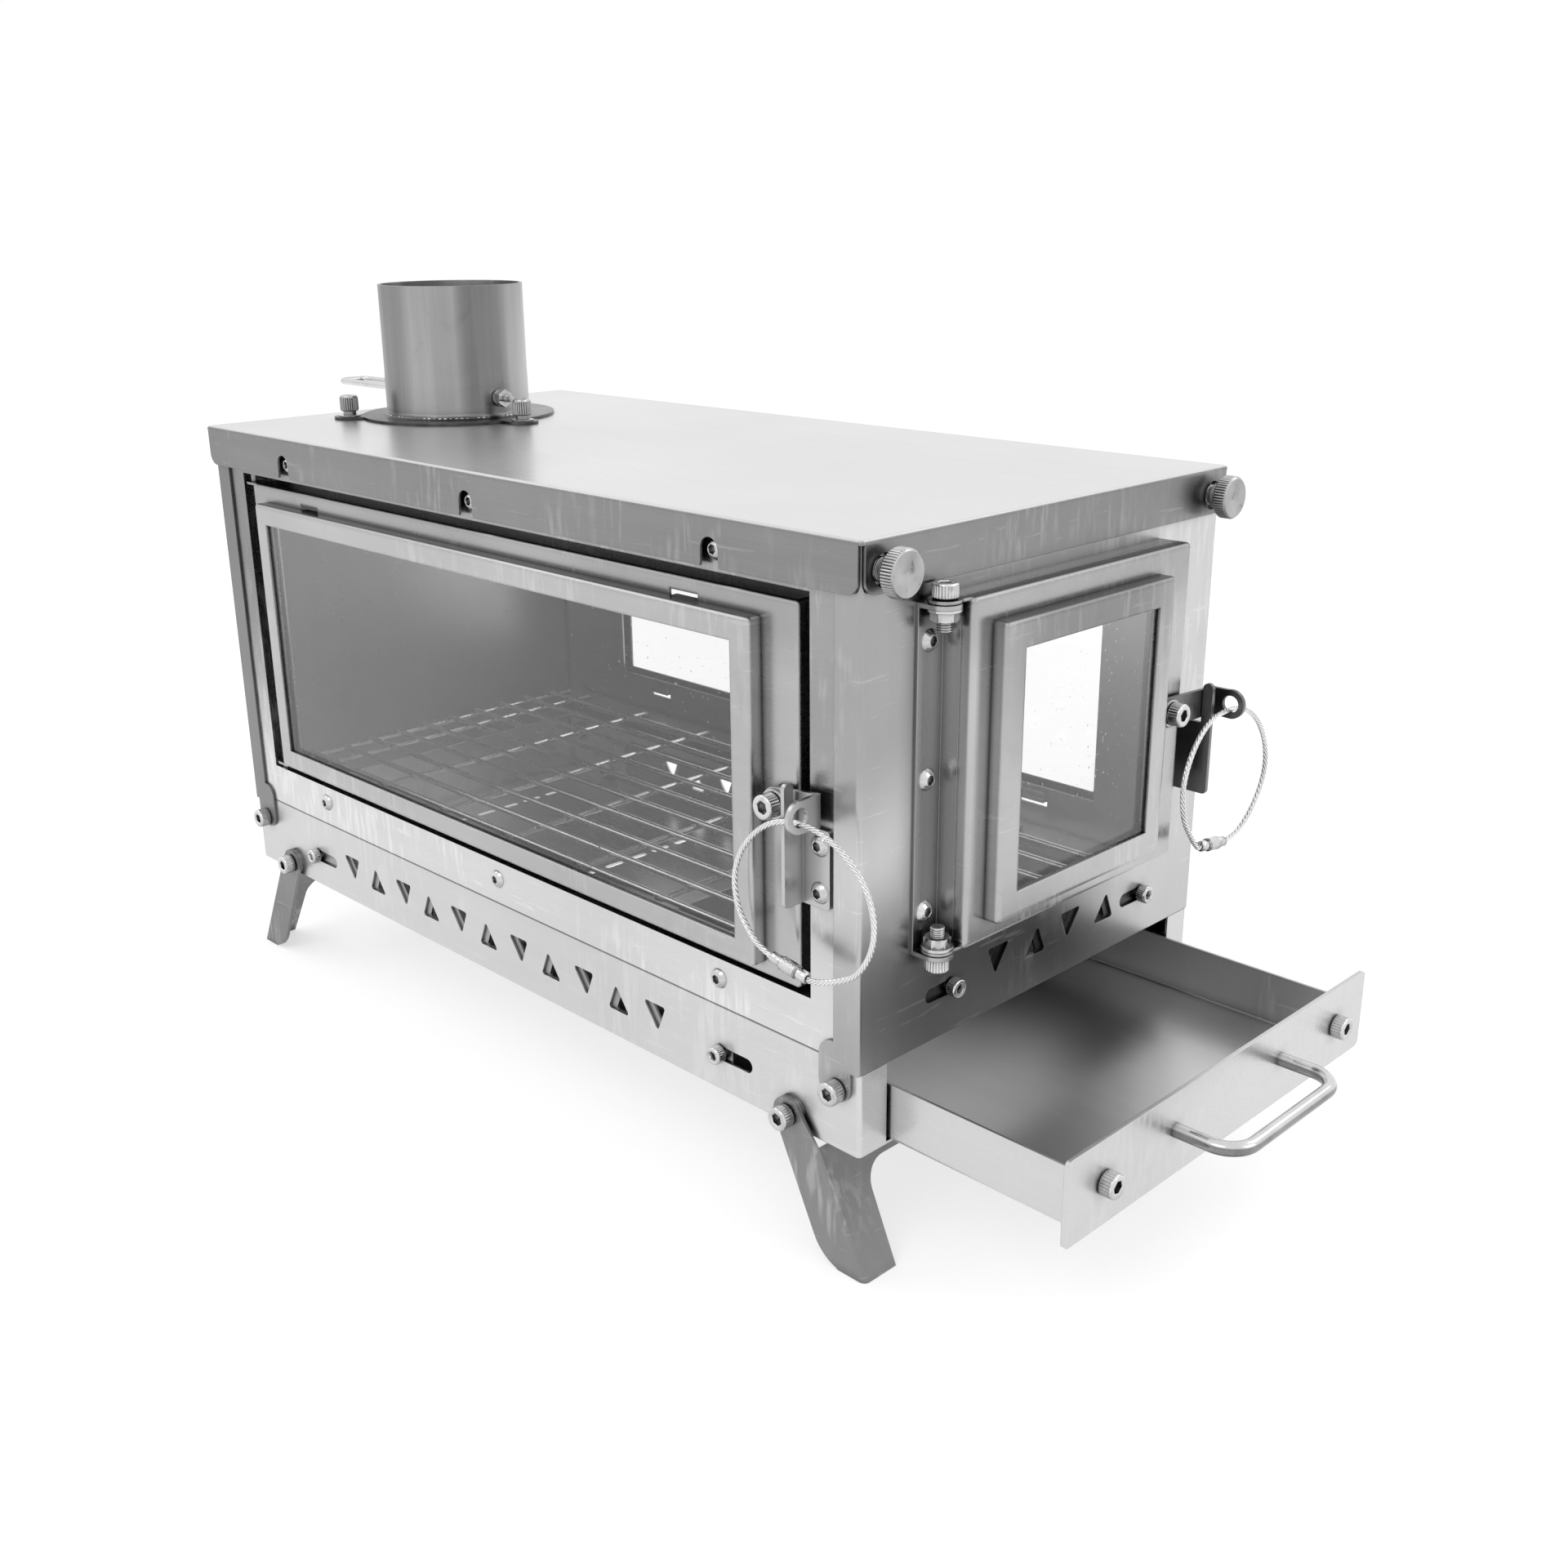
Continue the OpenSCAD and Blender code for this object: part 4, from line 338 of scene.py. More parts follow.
# ---------------------------------------------------------------- glass and seals
def clear_glass(name):
    """Clear ceramic glass with a faint haze and a few dust specks.

    Shadow and diffuse rays go straight through, so that the firebox is lit without noise."""
    s = Shade(name)
    haze = s.noise(s.coord, 16.0, 3.0, 0.6)
    dust = s.noise(s.coord, 700.0, 1.0, 0.5)
    gloss = s.plus(s.remap(haze, 0.4, 0.75, 0.0, 0.03), s.ramp(dust, 0.72, 0.78, 0.0, 0.3))
    tint = s.plus(s.remap(haze, *MID, 0.0, -0.03), 0.97)
    pane = s.principled(Base_Color=s.grey(tint), Roughness=gloss, IOR=1.47,
                        Transmission_Weight=1.0)
    clear = s.fill(s.node("ShaderNodeBsdfTransparent"), Color=(0.9, 0.9, 0.9, 1))
    path = s.node("ShaderNodeLightPath")
    mix = s.node("ShaderNodeMixShader")
    through = s.math("MAXIMUM", path.outputs["Is Shadow Ray"], path.outputs["Is Diffuse Ray"])
    for socket, value in zip(mix.inputs, (through, pane.outputs[0], clear.outputs[0])):
        s.put(socket, value)
    s.put(s.out.inputs["Surface"], mix.outputs[0])
    return s.mat


def dark_seal(name):
    """Woven fibre seal: dark, with the rounds of its braid."""
    s = Shade(name)
    braid = s.wave(s.stretch(turn=(0.3, 0.6, 0.8)), 420.0, 2.0)
    fibre = s.noise(s.coord, 1500.0, 3.0, 0.7)
    value = s.plus(s.remap(braid, 0, 1, 0.005, 0.015), s.remap(fibre, *MID, 0.0, 0.005))
    s.principled(Base_Color=s.grey(value), Roughness=0.95, Specular_IOR_Level=0.1)
    return s.mat


# ---------------------------------------------------------------- the paints and their nodes
# The steels' base greys are lit and shaded copies of one steel: painted light and shade.
paint = {
    # top: painted shade darkens its bend and flange
    "top": steel("steel_top", 0.74, 0.30, X, low=0.25, band=(-0.0008, -0.00003), smudge=0.02,
                 residue=0.09),
    # side: painted light towards the bottom, and a patch of painted shade
    "side": steel("steel_side", 0.34, 0.26, X, low=0.66, band=(-0.17, -0.06), residue=0.12,
                  spots=[((-0.19, -0.097, -0.07), 0.02, 0.10, 0.7)]),
    # back: painted shade darkens its inner face
    "back": steel("steel_back", 0.52, 0.36, X, low=0.44, band=(0.0962, 0.0966), across=Y,
                  smudge=0.03, wavy=0.01),
    # end: painted shade towards the bottom and in two patches
    "end": steel("steel_end", 0.58, 0.30, Z, low=0.50, band=(-0.21, -0.10), residue=0.10,
                 spots=[((0.2, -0.03, -0.175), 0.03, 0.10, 0.32),
                        ((0.196, -0.098, -0.045), 0.02, 0.065, 0.62)]),
    # rear: painted shade darkens its inner face, with a patch of painted shade
    "rear": steel("steel_rear", 0.32, 0.38, Z, low=0.56, band=(-0.1977, -0.1973), across=X,
                  smudge=0.03, wavy=0.01, spots=[((-0.197, -0.098, -0.09), 0.06, 0.14, 0.75)]),
    # base: a painted line of shade along its top edge
    "base": steel("steel_base", 0.62, 0.30, X, smudge=0.03, residue=0.06, rim=-0.1741),
    # frame: painted light towards the bottom, painted shade on faces that look up
    "frame": steel("steel_frame", 0.36, 0.24, X, low=0.45, band=(-0.05, -0.03), smudge=0.05,
                   edge=1.4 * MM, lid=0.28, residue=0.05, seam_shade=0.8, reach=3 * MM),
    # bezel: painted shade on faces that look up and in one patch
    "bezel": steel("steel_bezel", 0.46, 0.22, X, smudge=0.05, edge=1.4 * MM, lid=0.38,
                   residue=0.08, seam_shade=0.8, reach=3 * MM,
                   spots=[((0.2165, -0.005, -0.03), 0.02, 0.075, 0.5)]),
    "jamb": steel("steel_jamb", 0.40, 0.28, Z, smudge=0.05),
    "inner": steel("steel_inner", 0.60, 0.34, X),
    "slide": steel("steel_slide", 0.38, 0.34, X),
    # end slider: a near-black copy of the slider steel, painted shade
    "slide_shaded": steel("steel_slide_shaded", 0.07, 0.34, X),
    "latch": steel("steel_latch", 0.52, 0.30, Z, smudge=0.05),
    # end latch and strike: a darker copy of the latch steel, painted shade
    "latch_end": steel("steel_latch_end", 0.19, 0.30, Z, smudge=0.05),
    "leg": steel("steel_leg", 0.24, 0.30, Z, smudge=0.07, residue=0.14, grain=0.004),
    # flue: painted shade on its collar and in two stripes down the pipe
    "flue": steel("steel_flue", 0.40, 0.32, Z, low=0.12, band=(0.0022, 0.0034), smudge=0.07,
                  streak=0.03, side_bands=[(0.987, -0.162, 0.90, 0.52),
                                           (-0.137, -0.990, 0.88, 0.66)]),
    "bead": steel("steel_bead", 0.62, 0.34, Z, seam_shade=0.2),
    "tray": steel("steel_tray", 0.62, 0.30, X, smudge=0.03, residue=0.05),
    # ash pan: a patch of painted shade on its floor
    "pan": steel("steel_pan", 0.62, 0.30, X, smudge=0.04, residue=0.03,
                 spots=[((0.10, 0.03, -0.21), 0.03, 0.14, 0.30)]),
    # rod: painted highlight on top, painted shade below
    "rod": rod_metal("steel_rod", 0.27, 0.16, lines=0.42),
    "wire": rod_metal("steel_wire", 0.60, 0.24),
    "chrome": bright_metal("plated", 0.60, 0.13),
    "knob": bright_metal("plated_knob", 0.46, 0.22),
    "strand": rod_metal("steel_strand", 0.78, 0.22, 0.98, 0.8 * MM),
    "glass": clear_glass("glass_clear"),
    "seal": dark_seal("seal_dark"),
}
finish = {
    "top": "top_plate", "base": "base_frame", "side": "front_panel", "back": "back_panel",
    "end": "door_end_panel", "rear": "rear_end_panel", "flue": "flue_collar",
    "jamb": "end_jamb", "pan": "ash_tray", "tray": "drawer_front", "rod": "drawer_handle",
    "inner": "drawer_rails grate_rests damper_plate",
    "wire": "wire_grate damper_spindle",
    "frame": "end_door_frame long_door_frame",
    "bezel": "back_retainer end_door_retainer long_door_retainer",
    "glass": "back_glass end_door_glass long_door_glass",
    "seal": "back_gasket end_door_gasket long_door_gasket",
    "latch": "long_strike long_latch_lever",
    "latch_end": "end_strike end_latch_lever",
    "strand": "end_ring_cable long_ring_cable",
    "slide": "front_vent_slider back_vent_slider", "slide_shaded": "end_vent_slider",
    "leg": "door_end_bail rear_end_bail",
    "chrome": "collar_screws thumb_screws panel_screws tab_screws jamb_screws strike_screws "
              "handle_screws drawer_screws end_hinge_bolts end_hinge_nuts bail_bolts "
              "damper_nut end_latch_bolt end_latch_washers long_latch_bolt "
              "long_latch_washers end_ring_clasp long_ring_clasp front_slider_bolts "
              "back_slider_bolts end_slider_bolts",
}


def set_material(obj, mat):
    """Puts the material in every slot of a CAD object."""
    slots = obj.data.materials
    if not slots:
        slots.append(mat)
    for k in range(len(slots)):
        slots[k] = mat


for key, names in finish.items():
    for node in names.split():
        set_material(nodes[node], paint[key])


# ---------------------------------------------------------------- pieces
def add_piece(name, mesh, body, mat):
    """A new smooth-shaded piece that rides on a body and takes its finish from a slot."""
    obj = bpy.data.objects.new(name, mesh)
    scene.collection.objects.link(obj)
    mesh.materials.append(mat)
    for poly in mesh.polygons:
        poly.use_smooth = True
    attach(obj, body)
    return obj


def mesh_of(name, verts, faces):
    mesh = bpy.data.meshes.new(name)
    mesh.from_pydata([tuple(v) for v in verts], [], faces)
    mesh.update()
    return mesh


def skin(rings, sides):
    """Faces between rings of points, with a cap on the first and the last ring."""
    faces = [(i * sides + k, i * sides + (k + 1) % sides, (i + 1) * sides + (k + 1) % sides,
              (i + 1) * sides + k) for i in range(rings - 1) for k in range(sides)]
    faces.append(tuple(range(sides))[::-1])
    faces.append(tuple((rings - 1) * sides + k for k in range(sides)))
    return faces


def around(sides):
    """The angles of a ring's points."""
    return [2 * math.pi * k / sides for k in range(sides)]


# ---------------------------------------------------------------- cable rings
CABLE_D = 2.0                    # lengths in mm
STRANDS, LAY, CABLE_SIDES, CABLE_STEP = 5, 10.0, 40, 0.35
CURVE_STEPS = 24                 # points between two points of a route
CLASP_HALF, CLASP_STUB = 8.0, 2.0
CLASP_R, SLEEVE_R, SLEEVE_SHARE = 2.0, 2.5, 0.4
CLASP_SIDES, SLEEVE_STEPS = 72, 28
SLEEVE_TEETH, SLEEVE_PITCH, SLEEVE_CUT = 9, 1.1, 0.198

# each ring's route and its clasp's place and tilt, in mm from the ring's eye
RING = [(13, -50), (24, -44), (30.5, -34), (31.5, -23), (26.5, -11.5), (14, -2.5), (0, 0),
        (-14, -4), (-24.5, -13.5), (-29.5, -25), (-28, -36.5), (-21, -45.5)]
RING_CLASP = (-4.5, -50.5, -9.5)
END_RING = [(13, -50.5), (22.5, -43), (28.5, -32), (28, -21), (21.5, -10), (12, -3), (0, 0),
            (-13, -1.5), (-23, -9.5), (-28.5, -22), (-27, -35), (-20.5, -45)]
END_CLASP = (-6, -51.3, -8)


def rounded(points, per):
    """Points along a Catmull-Rom line through the given points, open at its ends."""
    pts = [2 * points[0] - points[1]] + points + [2 * points[-1] - points[-2]]
    out = []
    for i in range(1, len(pts) - 2):
        a, b, c, d = pts[i - 1:i + 3]
        for k in range(per):
            t = k / per
            out.append(0.5 * ((2 * b) + (c - a) * t + (2 * a - 5 * b + 4 * c - d) * t * t
                              + (3 * b - a - 3 * c + d) * t ** 3))
    return out + [points[-1]]


def even(points, step):
    """The same line with points a step apart, and its length."""
    total = [0.0]
    for a, b in zip(points, points[1:]):
        total.append(total[-1] + (b - a).length)
    count = max(2, round(total[-1] / step))
    out, j = [], 0
    for k in range(count + 1):
        want = total[-1] * k / count
        while j < len(points) - 2 and total[j + 1] < want:
            j += 1
        span = total[j + 1] - total[j]
        out.append(points[j].lerp(points[j + 1], (want - total[j]) / span if span else 0))
    return out, total[-1]


def strand_tube(name, path, normal, radius, strands, pitch, sides):
    """A laid wire rope: round strands that wind about the path once in each pitch."""
    half = math.pi / strands
    thick = radius * math.sin(half) / (1 + math.sin(half))
    away = radius - thick
    verts, run = [], 0.0
    for i, p in enumerate(path):
        a, b = path[max(i - 1, 0)], path[min(i + 1, len(path) - 1)]
        if i:
            run += (p - path[i - 1]).length
        along = (b - a).normalized()
        side = along.cross(normal).normalized()
        for ang in around(sides):
            off = (ang - 2 * math.pi * run / pitch) % (2 * half) - half
            chord = thick ** 2 - (away * math.sin(off)) ** 2
            r = away * math.cos(off) + math.sqrt(max(chord, 0.0))
            verts.append(p + (side * math.cos(ang) + normal * math.sin(ang)) * r)
    return mesh_of(name, verts, skin(len(path), sides))


def clasp_mesh(name, centre, along, normal, half, r_end, r_mid, mid):
    """Screw clasp: turned ends with rounded rims and a cross-knurled sleeve between them."""
    side = along.cross(normal).normalized()
    tip = [(-half, 0.55 * r_end), (-half, 0.86 * r_end), (-half + 0.25 * MM, r_end),
           (-mid - 0.5 * MM, r_end), (-mid - 0.3 * MM, 0.9 * r_end), (-mid, 0.9 * r_end),
           (-mid, 0.95 * r_mid)]
    sleeve = [(-mid + 2 * mid * k / SLEEVE_STEPS, r_mid) for k in range(SLEEVE_STEPS + 1)]
    profile = tip + sleeve + [(-x, r) for x, r in reversed(tip)]
    verts = []
    for x, r in profile:
        turn = x / (SLEEVE_PITCH * MM) * math.pi / 2
        for ang in around(CLASP_SIDES):
            rr = r
            if abs(x) < mid and r == r_mid:
                cut = abs(math.sin(SLEEVE_TEETH * ang + turn)
                          * math.sin(SLEEVE_TEETH * ang - turn))
                rr = r_mid - SLEEVE_CUT * MM * (1 - cut)
            verts.append(centre + along * x
                         + (side * math.cos(ang) + normal * math.sin(ang)) * rr)
    return mesh_of(name, verts, skin(len(profile), CLASP_SIDES))


def ring(name, body, eye, ax, ay, normal, route, clasp):
    """One cable ring: its laid cable and its clasp, in place of the plain cable and clasp."""
    def place(u, v):
        return eye + (ax * u + ay * v) * MM

    cx, cy, tilt = clasp
    along = ax * math.cos(math.radians(tilt)) + ay * math.sin(math.radians(tilt))
    mid = place(cx, cy)
    near, far = along * CLASP_HALF * MM, along * (CLASP_HALF + CLASP_STUB) * MM
    raw = [mid + near, mid + far] + [place(u, v) for u, v in route] + [mid - far, mid - near]
    path, length = even(rounded(raw, CURVE_STEPS), CABLE_STEP * MM)
    laid, knurled = name + "_cable_laid", name + "_clasp_knurled"
    cable = add_piece(laid, strand_tube(laid, path, normal, CABLE_D / 2 * MM, STRANDS,
                                        LAY * MM, CABLE_SIDES),
                      body, paint["strand"])
    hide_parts(name + "_cable")
    sleeve = add_piece(knurled, clasp_mesh(knurled, mid, along, normal, CLASP_HALF * MM,
                                           CLASP_R * MM, SLEEVE_R * MM,
                                           CLASP_HALF * SLEEVE_SHARE * MM),
                       body, paint["chrome"])
    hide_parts(name + "_clasp")


ring("long_ring", "long_ring", Vector((182.65, -109, -89.35)) * MM, AX, AZ, AY, RING,
     RING_CLASP)
ring("end_ring", "end_ring", Vector((221.5, 77.75, -84.8)) * MM, AY, AZ, AX, END_RING,
     END_CLASP)

# ---------------------------------------------------------------- screws and knobs, in mm
ROUND, HEX, KNURL = 0, 1, 2                    # outlines of a station
SIDES, TEETH, CUT = 96, 24, 0.3
M5, M4 = 2.5, 2.0                              # shank radii
HEAD, TALL, NUT, NUT_H = 1.7, 2.0, 1.85, 1.6   # sizes as shares of a shank's radius
NUT_BEVEL, NUT_FACE = 0.25, 0.9
WASHER_BEVEL = 0.12
SHARP = 32                                     # degrees from which an edge stays sharp


def turned(stations, sides=SIDES, teeth=TEETH, cut=CUT):
    """A lathe form along z: each station is its height, its radius and its outline."""
    verts = []
    for z, r, form in stations:
        for a in around(sides):
            rr = r
            if form == HEX:
                rr = r * math.cos(math.pi / 6) / math.cos(a % (math.pi / 3) - math.pi / 6)
            elif form == KNURL:
                rr = r - cut * (0.5 - 0.5 * math.cos(teeth * a)) ** 2
            verts.append(Vector((rr * math.cos(a), rr * math.sin(a), z)))
    return verts, skin(len(stations), sides)


def thread(z0, z1, r, pitch=0.8, depth=0.35):
    """Stations of a thread's rings from z0 down to z1."""
    n = max(1, round(abs(z1 - z0) / pitch))
    step = (z1 - z0) / n
    out = []
    for k in range(n):
        z = z0 + (z1 - z0) * k / n
        out += [(z, r - depth, ROUND), (z + 0.4 * step, r, ROUND), (z + 0.6 * step, r, ROUND)]
    return out + [(z1, r - depth, ROUND)]


def socket_head(r, length, stub=0.0):
    """Socket head screw: head above z = 0, shank below, its last stub shows a thread."""
    h, t = r * HEAD, r * TALL
    body = [(0.4 * t, 0.8 * r, HEX), (t - 0.3, 0.92 * r, HEX), (t - 0.02, 1.04 * r, HEX),
            (t, 1.15 * r, ROUND), (t, h - 0.55, ROUND), (t - 0.12, h - 0.28, ROUND),
            (t - 0.4, h - 0.08, ROUND), (t - 0.65, h, ROUND), (t - 0.75, h, KNURL),
            (0.55, h, KNURL), (0.5, h - 0.1, ROUND), (0.0, h - 0.35, ROUND), (0.0, r, ROUND)]
    if stub:
        tail = [(-length + stub, r, ROUND)] + thread(-length + stub, -length, r)
    else:
        tail = [(-length, r, ROUND)]
    return turned(body + tail)


def button_head(length, r=3.8, tall=2.2, shank=M4):
    """Button head screw with its hex socket."""
    ball = (r * r + tall * tall) / (2 * tall)
    dome = [(tall - ball + math.sqrt(ball * ball - q * q), q, ROUND)
            for q in (2.05, 2.3, 2.7, 3.05, 3.35, 3.6, 3.75)]
    return turned([(0.2, 1.5, HEX), (1.5, 1.7, HEX), (1.74, 1.8, HEX), (1.77, 1.9, ROUND)]
                  + dome + [(0.0, r, ROUND), (0.0, shank, ROUND), (-length, shank, ROUND)])


def hex_nut(r, z):
    """Hex nut with chamfered corners, its lower face at z."""
    h, w = r * NUT_H, r * NUT
    return turned([(z, r, ROUND), (z, w * NUT_FACE, ROUND), (z + NUT_BEVEL, w, HEX),
                   (z + h - NUT_BEVEL, w, HEX), (z + h, w * NUT_FACE, ROUND),
                   (z + h, r, ROUND)])


def washer(r, bore, z0, z1):
    """Flat ring from z0 to z1."""
    b = WASHER_BEVEL
    return turned([(z0, bore, ROUND), (z0, r - b, ROUND), (z0 + b, r, ROUND),
                   (z1 - b, r, ROUND), (z1, r - b, ROUND), (z1, bore, ROUND)])


def thumb_knob(r=7.75, tall=5.2, neck=3.87, collar=4.65):
    """Knurled thumb screw: the knob above z = 0, its necked and threaded stem below."""
    face = [(tall - 0.22, 0.2, ROUND), (tall - 0.22, 1.1, ROUND), (tall - 0.1, 1.3, ROUND),
            (tall - 0.1, r - 1.5, ROUND), (tall, r - 1.2, ROUND), (tall, r - 0.75, ROUND),
            (tall - 0.3, r - 0.45, ROUND)]
    rim = [(tall - 0.75, r, KNURL), (0.75, r, KNURL), (0.3, r - 0.45, ROUND),
           (0, r - 0.7, ROUND), (0, neck, ROUND)]
    stem = thread(0, -1.4, neck) + [(-1.4, collar, ROUND), (-2.8, collar, ROUND)]
    stem += thread(-2.8, -6.2, neck) + [(-6.2, M5, ROUND)] + thread(-6.2, -11.4, M5)
    return turned(face + rim + stem, 192, 48, 0.5)


def cap_knob(r=4.15, tall=7.0, stem=2.4):
    """Collar screw: knurled drum with a smooth cap over a washer, above z = 0."""
    top, cap, neck, foot = stem + tall, r - 0.15, 0.7 * r, 1.2 * r
    return turned([(top - 0.25, 0.2, ROUND), (top - 0.25, 1.6, ROUND), (top, 1.9, ROUND),
                   (top, r - 0.8, ROUND), (top - 0.2, r - 0.4, ROUND), (top - 0.7, cap, ROUND),
                   (top - 1.0, cap, ROUND), (top - 1.1, r, KNURL), (stem + 0.5, r, KNURL),
                   (stem, r - 0.6, ROUND), (stem, neck, ROUND), (0.6, neck, ROUND),
                   (0.6, foot - 0.2, ROUND), (0.45, foot, ROUND), (0, foot, ROUND),
                   (0, M4, ROUND), (-7, M4, ROUND)], SIDES, TEETH, 0.45)


def fasteners(name, node, body, forms, places, key="chrome"):
    """One piece in place of its node, with the forms, or a place's own, at each place.

    A place is its point, the way its screw faces, and its own forms if it has any."""
    verts, faces = [], []
    for point, out, *own in places:
        w = Vector(out)
        u = w.orthogonal().normalized()
        v = w.cross(u)
        for points, polys in own or forms:
            first = len(verts)
            verts += [(Vector(point) + u * p.x + v * p.y + w * p.z) * MM for p in points]
            faces += [tuple(first + k for k in f) for f in polys]
    mesh = mesh_of(name, verts, faces)
    bm = bmesh.new()
    bm.from_mesh(mesh)
    bmesh.ops.recalc_face_normals(bm, faces=bm.faces)
    bm.to_mesh(mesh)
    bm.free()
    piece = add_piece(name, mesh, body, paint[key])
    mesh.set_sharp_from_angle(angle=math.radians(SHARP))
    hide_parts(node)


UP, DOWN, END, FRONT, BACK = (0, 0, 1), (0, 0, -1), (1, 0, 0), (0, -1, 0), (0, 1, 0)


def both(x, y, z):
    """The same place on the long front side and on the back."""
    return [((x, -y, z), FRONT), ((x, y, z), BACK)]


def both_rows(xs, y, z, *own):
    """A row of places on the long front side and on the back."""
    return [(*place, *own) for x in xs for place in both(x, y, z)]


fasteners("collar_screws_knurled", "collar_screws", "stove", [cap_knob()],
          [((-98, 0, 1.2), UP), ((-172.25, 42.865, 1.2), UP), ((-172.25, -42.865, 1.2), UP)],
          "knob")
fasteners("thumb_screws_knurled", "thumb_screws", "stove", [thumb_knob()],
          [((204.2, y, -10), END) for y in (-90, 90)], "knob")
fasteners("tab_screws_socket", "tab_screws", "stove", [socket_head(M5, 6), hex_nut(M5, -6)],
          both_rows((-188.5, 188.5), 98, -184.8))
fasteners("jamb_screws_button", "jamb_screws", "stove", [button_head(5.2)],
          [((199, -67.5, z), END) for z in (-126.8, -81.25, -35.7)])
fasteners("panel_screws_button", "panel_screws", "stove", [button_head(5.2)],
          both_rows((-134, 0, 134), 97, -11.5, button_head(10.4), hex_nut(M4, -4.2))
          + both_rows((-131, 0, 131), 97, -163.7))
fasteners("strike_screws_button", "strike_screws", "stove", [button_head(5.2)],
          [((181.5, -98.5, z), FRONT) for z in (-116.1, -99.9)]
          + [((199.5, 78.4, z), END) for z in (-111.3, -95.1)])
fasteners("end_hinge_bolt_top", "end_hinge_bolts", "stove", [socket_head(M5, 10.5, 4.0)],
          [((204.8, -67.5, -21.4), UP), ((204.8, -67.5, -140.9), DOWN)])
fasteners("end_hinge_nuts_flanged", "end_hinge_nuts", "stove",
          [hex_nut(M5, 0), washer(5.5, M5, 0, 1)],
          [((204.8, -67.5, -24.4), DOWN), ((204.8, -67.5, -137.9), UP)])
fasteners("bail_bolts_socket", "bail_bolts", "stove",
          [socket_head(M5, 7.6), hex_nut(M5, -7.6), washer(6.08, M5, -2.6, -1.7)],
          both_rows((-166.5, 166.5), 99.6, -202.4))
fasteners("long_latch_bolt_socket", "long_latch_bolt", "long_door",
          [socket_head(M5, 9.7), hex_nut(M5, -9.7)], [((164.5, -102.7, -89.1), FRONT)])
fasteners("end_latch_bolt_socket", "end_latch_bolt", "end_door",
          [socket_head(M5, 8.7), hex_nut(M5, -8.7)], [((215.2, 48.5, -81.3), END)])
fasteners("drawer_screws_socket", "drawer_screws", "ash_drawer",
          [socket_head(M5, 6.5), hex_nut(M5, -6.5)],
          [((277.4, y, -192), END) for y in (-72, 72)])
for side, node in enumerate(("front", "back")):
    fasteners(node + "_slider_bolts_socket", node + "_slider_bolts", node + "_slider",
              [socket_head(M4, 2.6)], [both(x, 97.1, -193)[side] for x in (-144.55, 130.85)])
fasteners("end_slider_bolts_socket", "end_slider_bolts", "end_slider", [socket_head(M4, 2.6)],
          [((198.1, y, -159.8), END) for y in (-51.2, 62.0)])

# ---------------------------------------------------------------- weld at the flue's foot
WELD_CENTRE, WELD_R, WELD_THICK = Vector((-147.5, 0, 1.5)) * MM, 32.8, 0.75   # radii in mm
WELD_BEADS, WELD_STEPS, WELD_SIDES = 84, 6, 10


def weld_bead(name):
    """A run of small overlapping beads round the foot of the flue."""
    verts, count, sides = [], WELD_BEADS * WELD_STEPS, WELD_SIDES
    for a in around(count):
        uneven = noise.noise(Vector((9 * math.cos(a), 9 * math.sin(a), 1.7)))
        fat = WELD_THICK * (0.75 + 0.25 * abs(math.sin(WELD_BEADS * a / 2)) + 0.15 * uneven)
        for b in around(sides):
            r = WELD_R + fat * math.cos(b)
            verts.append(WELD_CENTRE + Vector((r * math.cos(a), r * math.sin(a),
                                               fat * math.sin(b))) * MM)
    faces = [(i * sides + k, (i + 1) % count * sides + k,
              (i + 1) % count * sides + (k + 1) % sides, i * sides + (k + 1) % sides)
             for i in range(count) for k in range(sides)]
    add_piece(name, mesh_of(name, verts, faces), "stove", paint["bead"])


weld_bead("flue_weld_bead")

# ---------------------------------------------------------------- floor, world, lamps
FLOOR_HALF, FLOOR_DROP = 12.0, 0.2 * MM        # half its side, and its depth under the feet
FLOOR_GREY, FLOOR_LIFT = 0.8, 0.54             # its colour, and the glow that seen rays add
WORLD_FILL, WORLD_SEEN = 0.6, 1.0
WHITE = (1, 1, 1, 1)
AIM = Vector((0, 0, -0.1))


def bare_tree(owner):
    """The empty node tree of a material or world."""
    owner.use_nodes = True
    owner.node_tree.nodes.clear()
    return owner.node_tree


def ray_is_seen(tree):
    """1 for camera, glossy and transmitted rays."""
    path = tree.nodes.new("ShaderNodeLightPath")
    value = path.outputs["Is Camera Ray"]
    for key in ("Is Glossy Ray", "Is Transmission Ray"):
        n = tree.nodes.new("ShaderNodeMath")
        n.operation = "MAXIMUM"
        tree.links.new(value, n.inputs[0])
        tree.links.new(path.outputs[key], n.inputs[1])
        value = n.outputs[0]
    return value


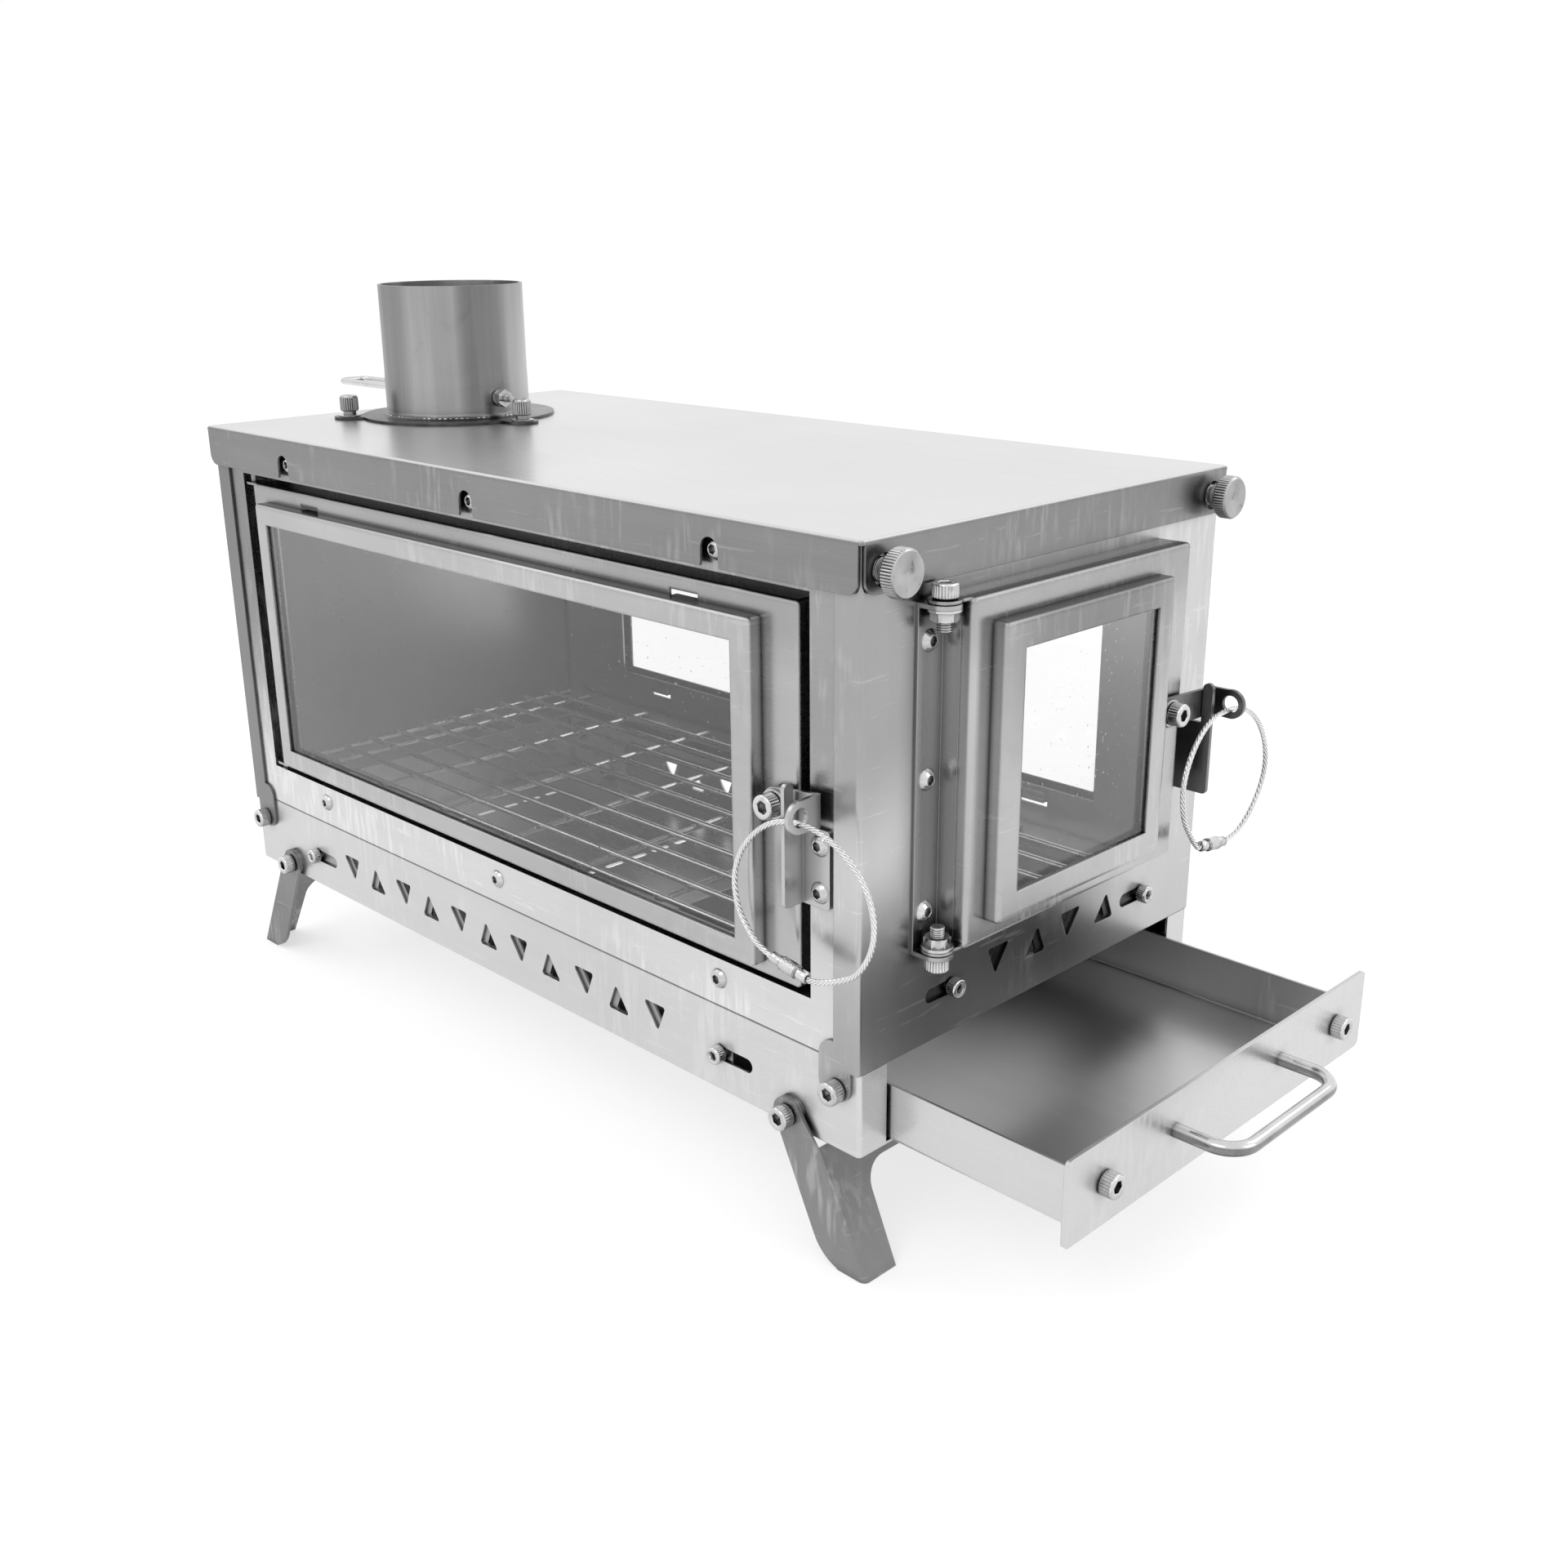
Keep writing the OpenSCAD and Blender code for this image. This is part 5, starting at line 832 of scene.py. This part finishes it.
def make_floor():
    """Pale floor that takes the object's shadow and shows white to the camera."""
    half, z = FLOOR_HALF, cad_box[0][2] - FLOOR_DROP
    mesh = mesh_of("floor", [(-half, -half, z), (half, -half, z), (half, half, z),
                             (-half, half, z)], [(0, 1, 2, 3)])
    floor = bpy.data.objects.new("floor", mesh)
    scene.collection.objects.link(floor)
    mat = bpy.data.materials.new("floor_pale")
    tree = bare_tree(mat)
    out = tree.nodes.new("ShaderNodeOutputMaterial")
    diffuse = tree.nodes.new("ShaderNodeBsdfDiffuse")
    diffuse.inputs["Color"].default_value = (FLOOR_GREY, FLOOR_GREY, FLOOR_GREY, 1)
    lift = tree.nodes.new("ShaderNodeEmission")
    lift.inputs["Color"].default_value = WHITE
    scale = tree.nodes.new("ShaderNodeMath")
    scale.operation = "MULTIPLY"
    scale.inputs[1].default_value = FLOOR_LIFT
    add = tree.nodes.new("ShaderNodeAddShader")
    tree.links.new(ray_is_seen(tree), scale.inputs[0])
    tree.links.new(scale.outputs[0], lift.inputs["Strength"])
    tree.links.new(diffuse.outputs[0], add.inputs[0])
    tree.links.new(lift.outputs[0], add.inputs[1])
    tree.links.new(add.outputs[0], out.inputs["Surface"])
    mesh.materials.append(mat)


def make_world():
    """White to seen rays, and a softer fill for the rest."""
    world = bpy.data.worlds.new("studio")
    scene.world = world
    tree = bare_tree(world)
    out = tree.nodes.new("ShaderNodeOutputWorld")
    back = tree.nodes.new("ShaderNodeBackground")
    back.inputs["Color"].default_value = WHITE
    level = tree.nodes.new("ShaderNodeMapRange")
    level.inputs["To Min"].default_value = WORLD_FILL
    level.inputs["To Max"].default_value = WORLD_SEEN
    tree.links.new(ray_is_seen(tree), level.inputs["Value"])
    tree.links.new(level.outputs["Result"], back.inputs["Strength"])
    tree.links.new(back.outputs[0], out.inputs["Surface"])


def softbox(name, where, size, power):
    """A rectangular lamp aimed at the stove: its place and size in metres, its power in watts."""
    data = bpy.data.lights.new(name, "AREA")
    data.shape = "RECTANGLE"
    data.size, data.size_y = size
    data.energy = power
    lamp = bpy.data.objects.new(name, data)
    lamp.location = where
    lamp.rotation_euler = (AIM - Vector(where)).to_track_quat("-Z", "Y").to_euler()
    scene.collection.objects.link(lamp)


make_floor()
make_world()
softbox("softbox_key", (0.4, -1.6, 1.5), (1.2, 0.9), 5)
softbox("softbox_side", (1.7, 0.5, 0.9), (0.9, 0.9), 3)
softbox("softbox_left", (-1.47, -0.72, 1.37), (1.0, 0.8), 3)
softbox("softbox_far", (0.72, 1.47, 1.37), (1.0, 0.8), 3)

scene.view_settings.view_transform = "Standard"
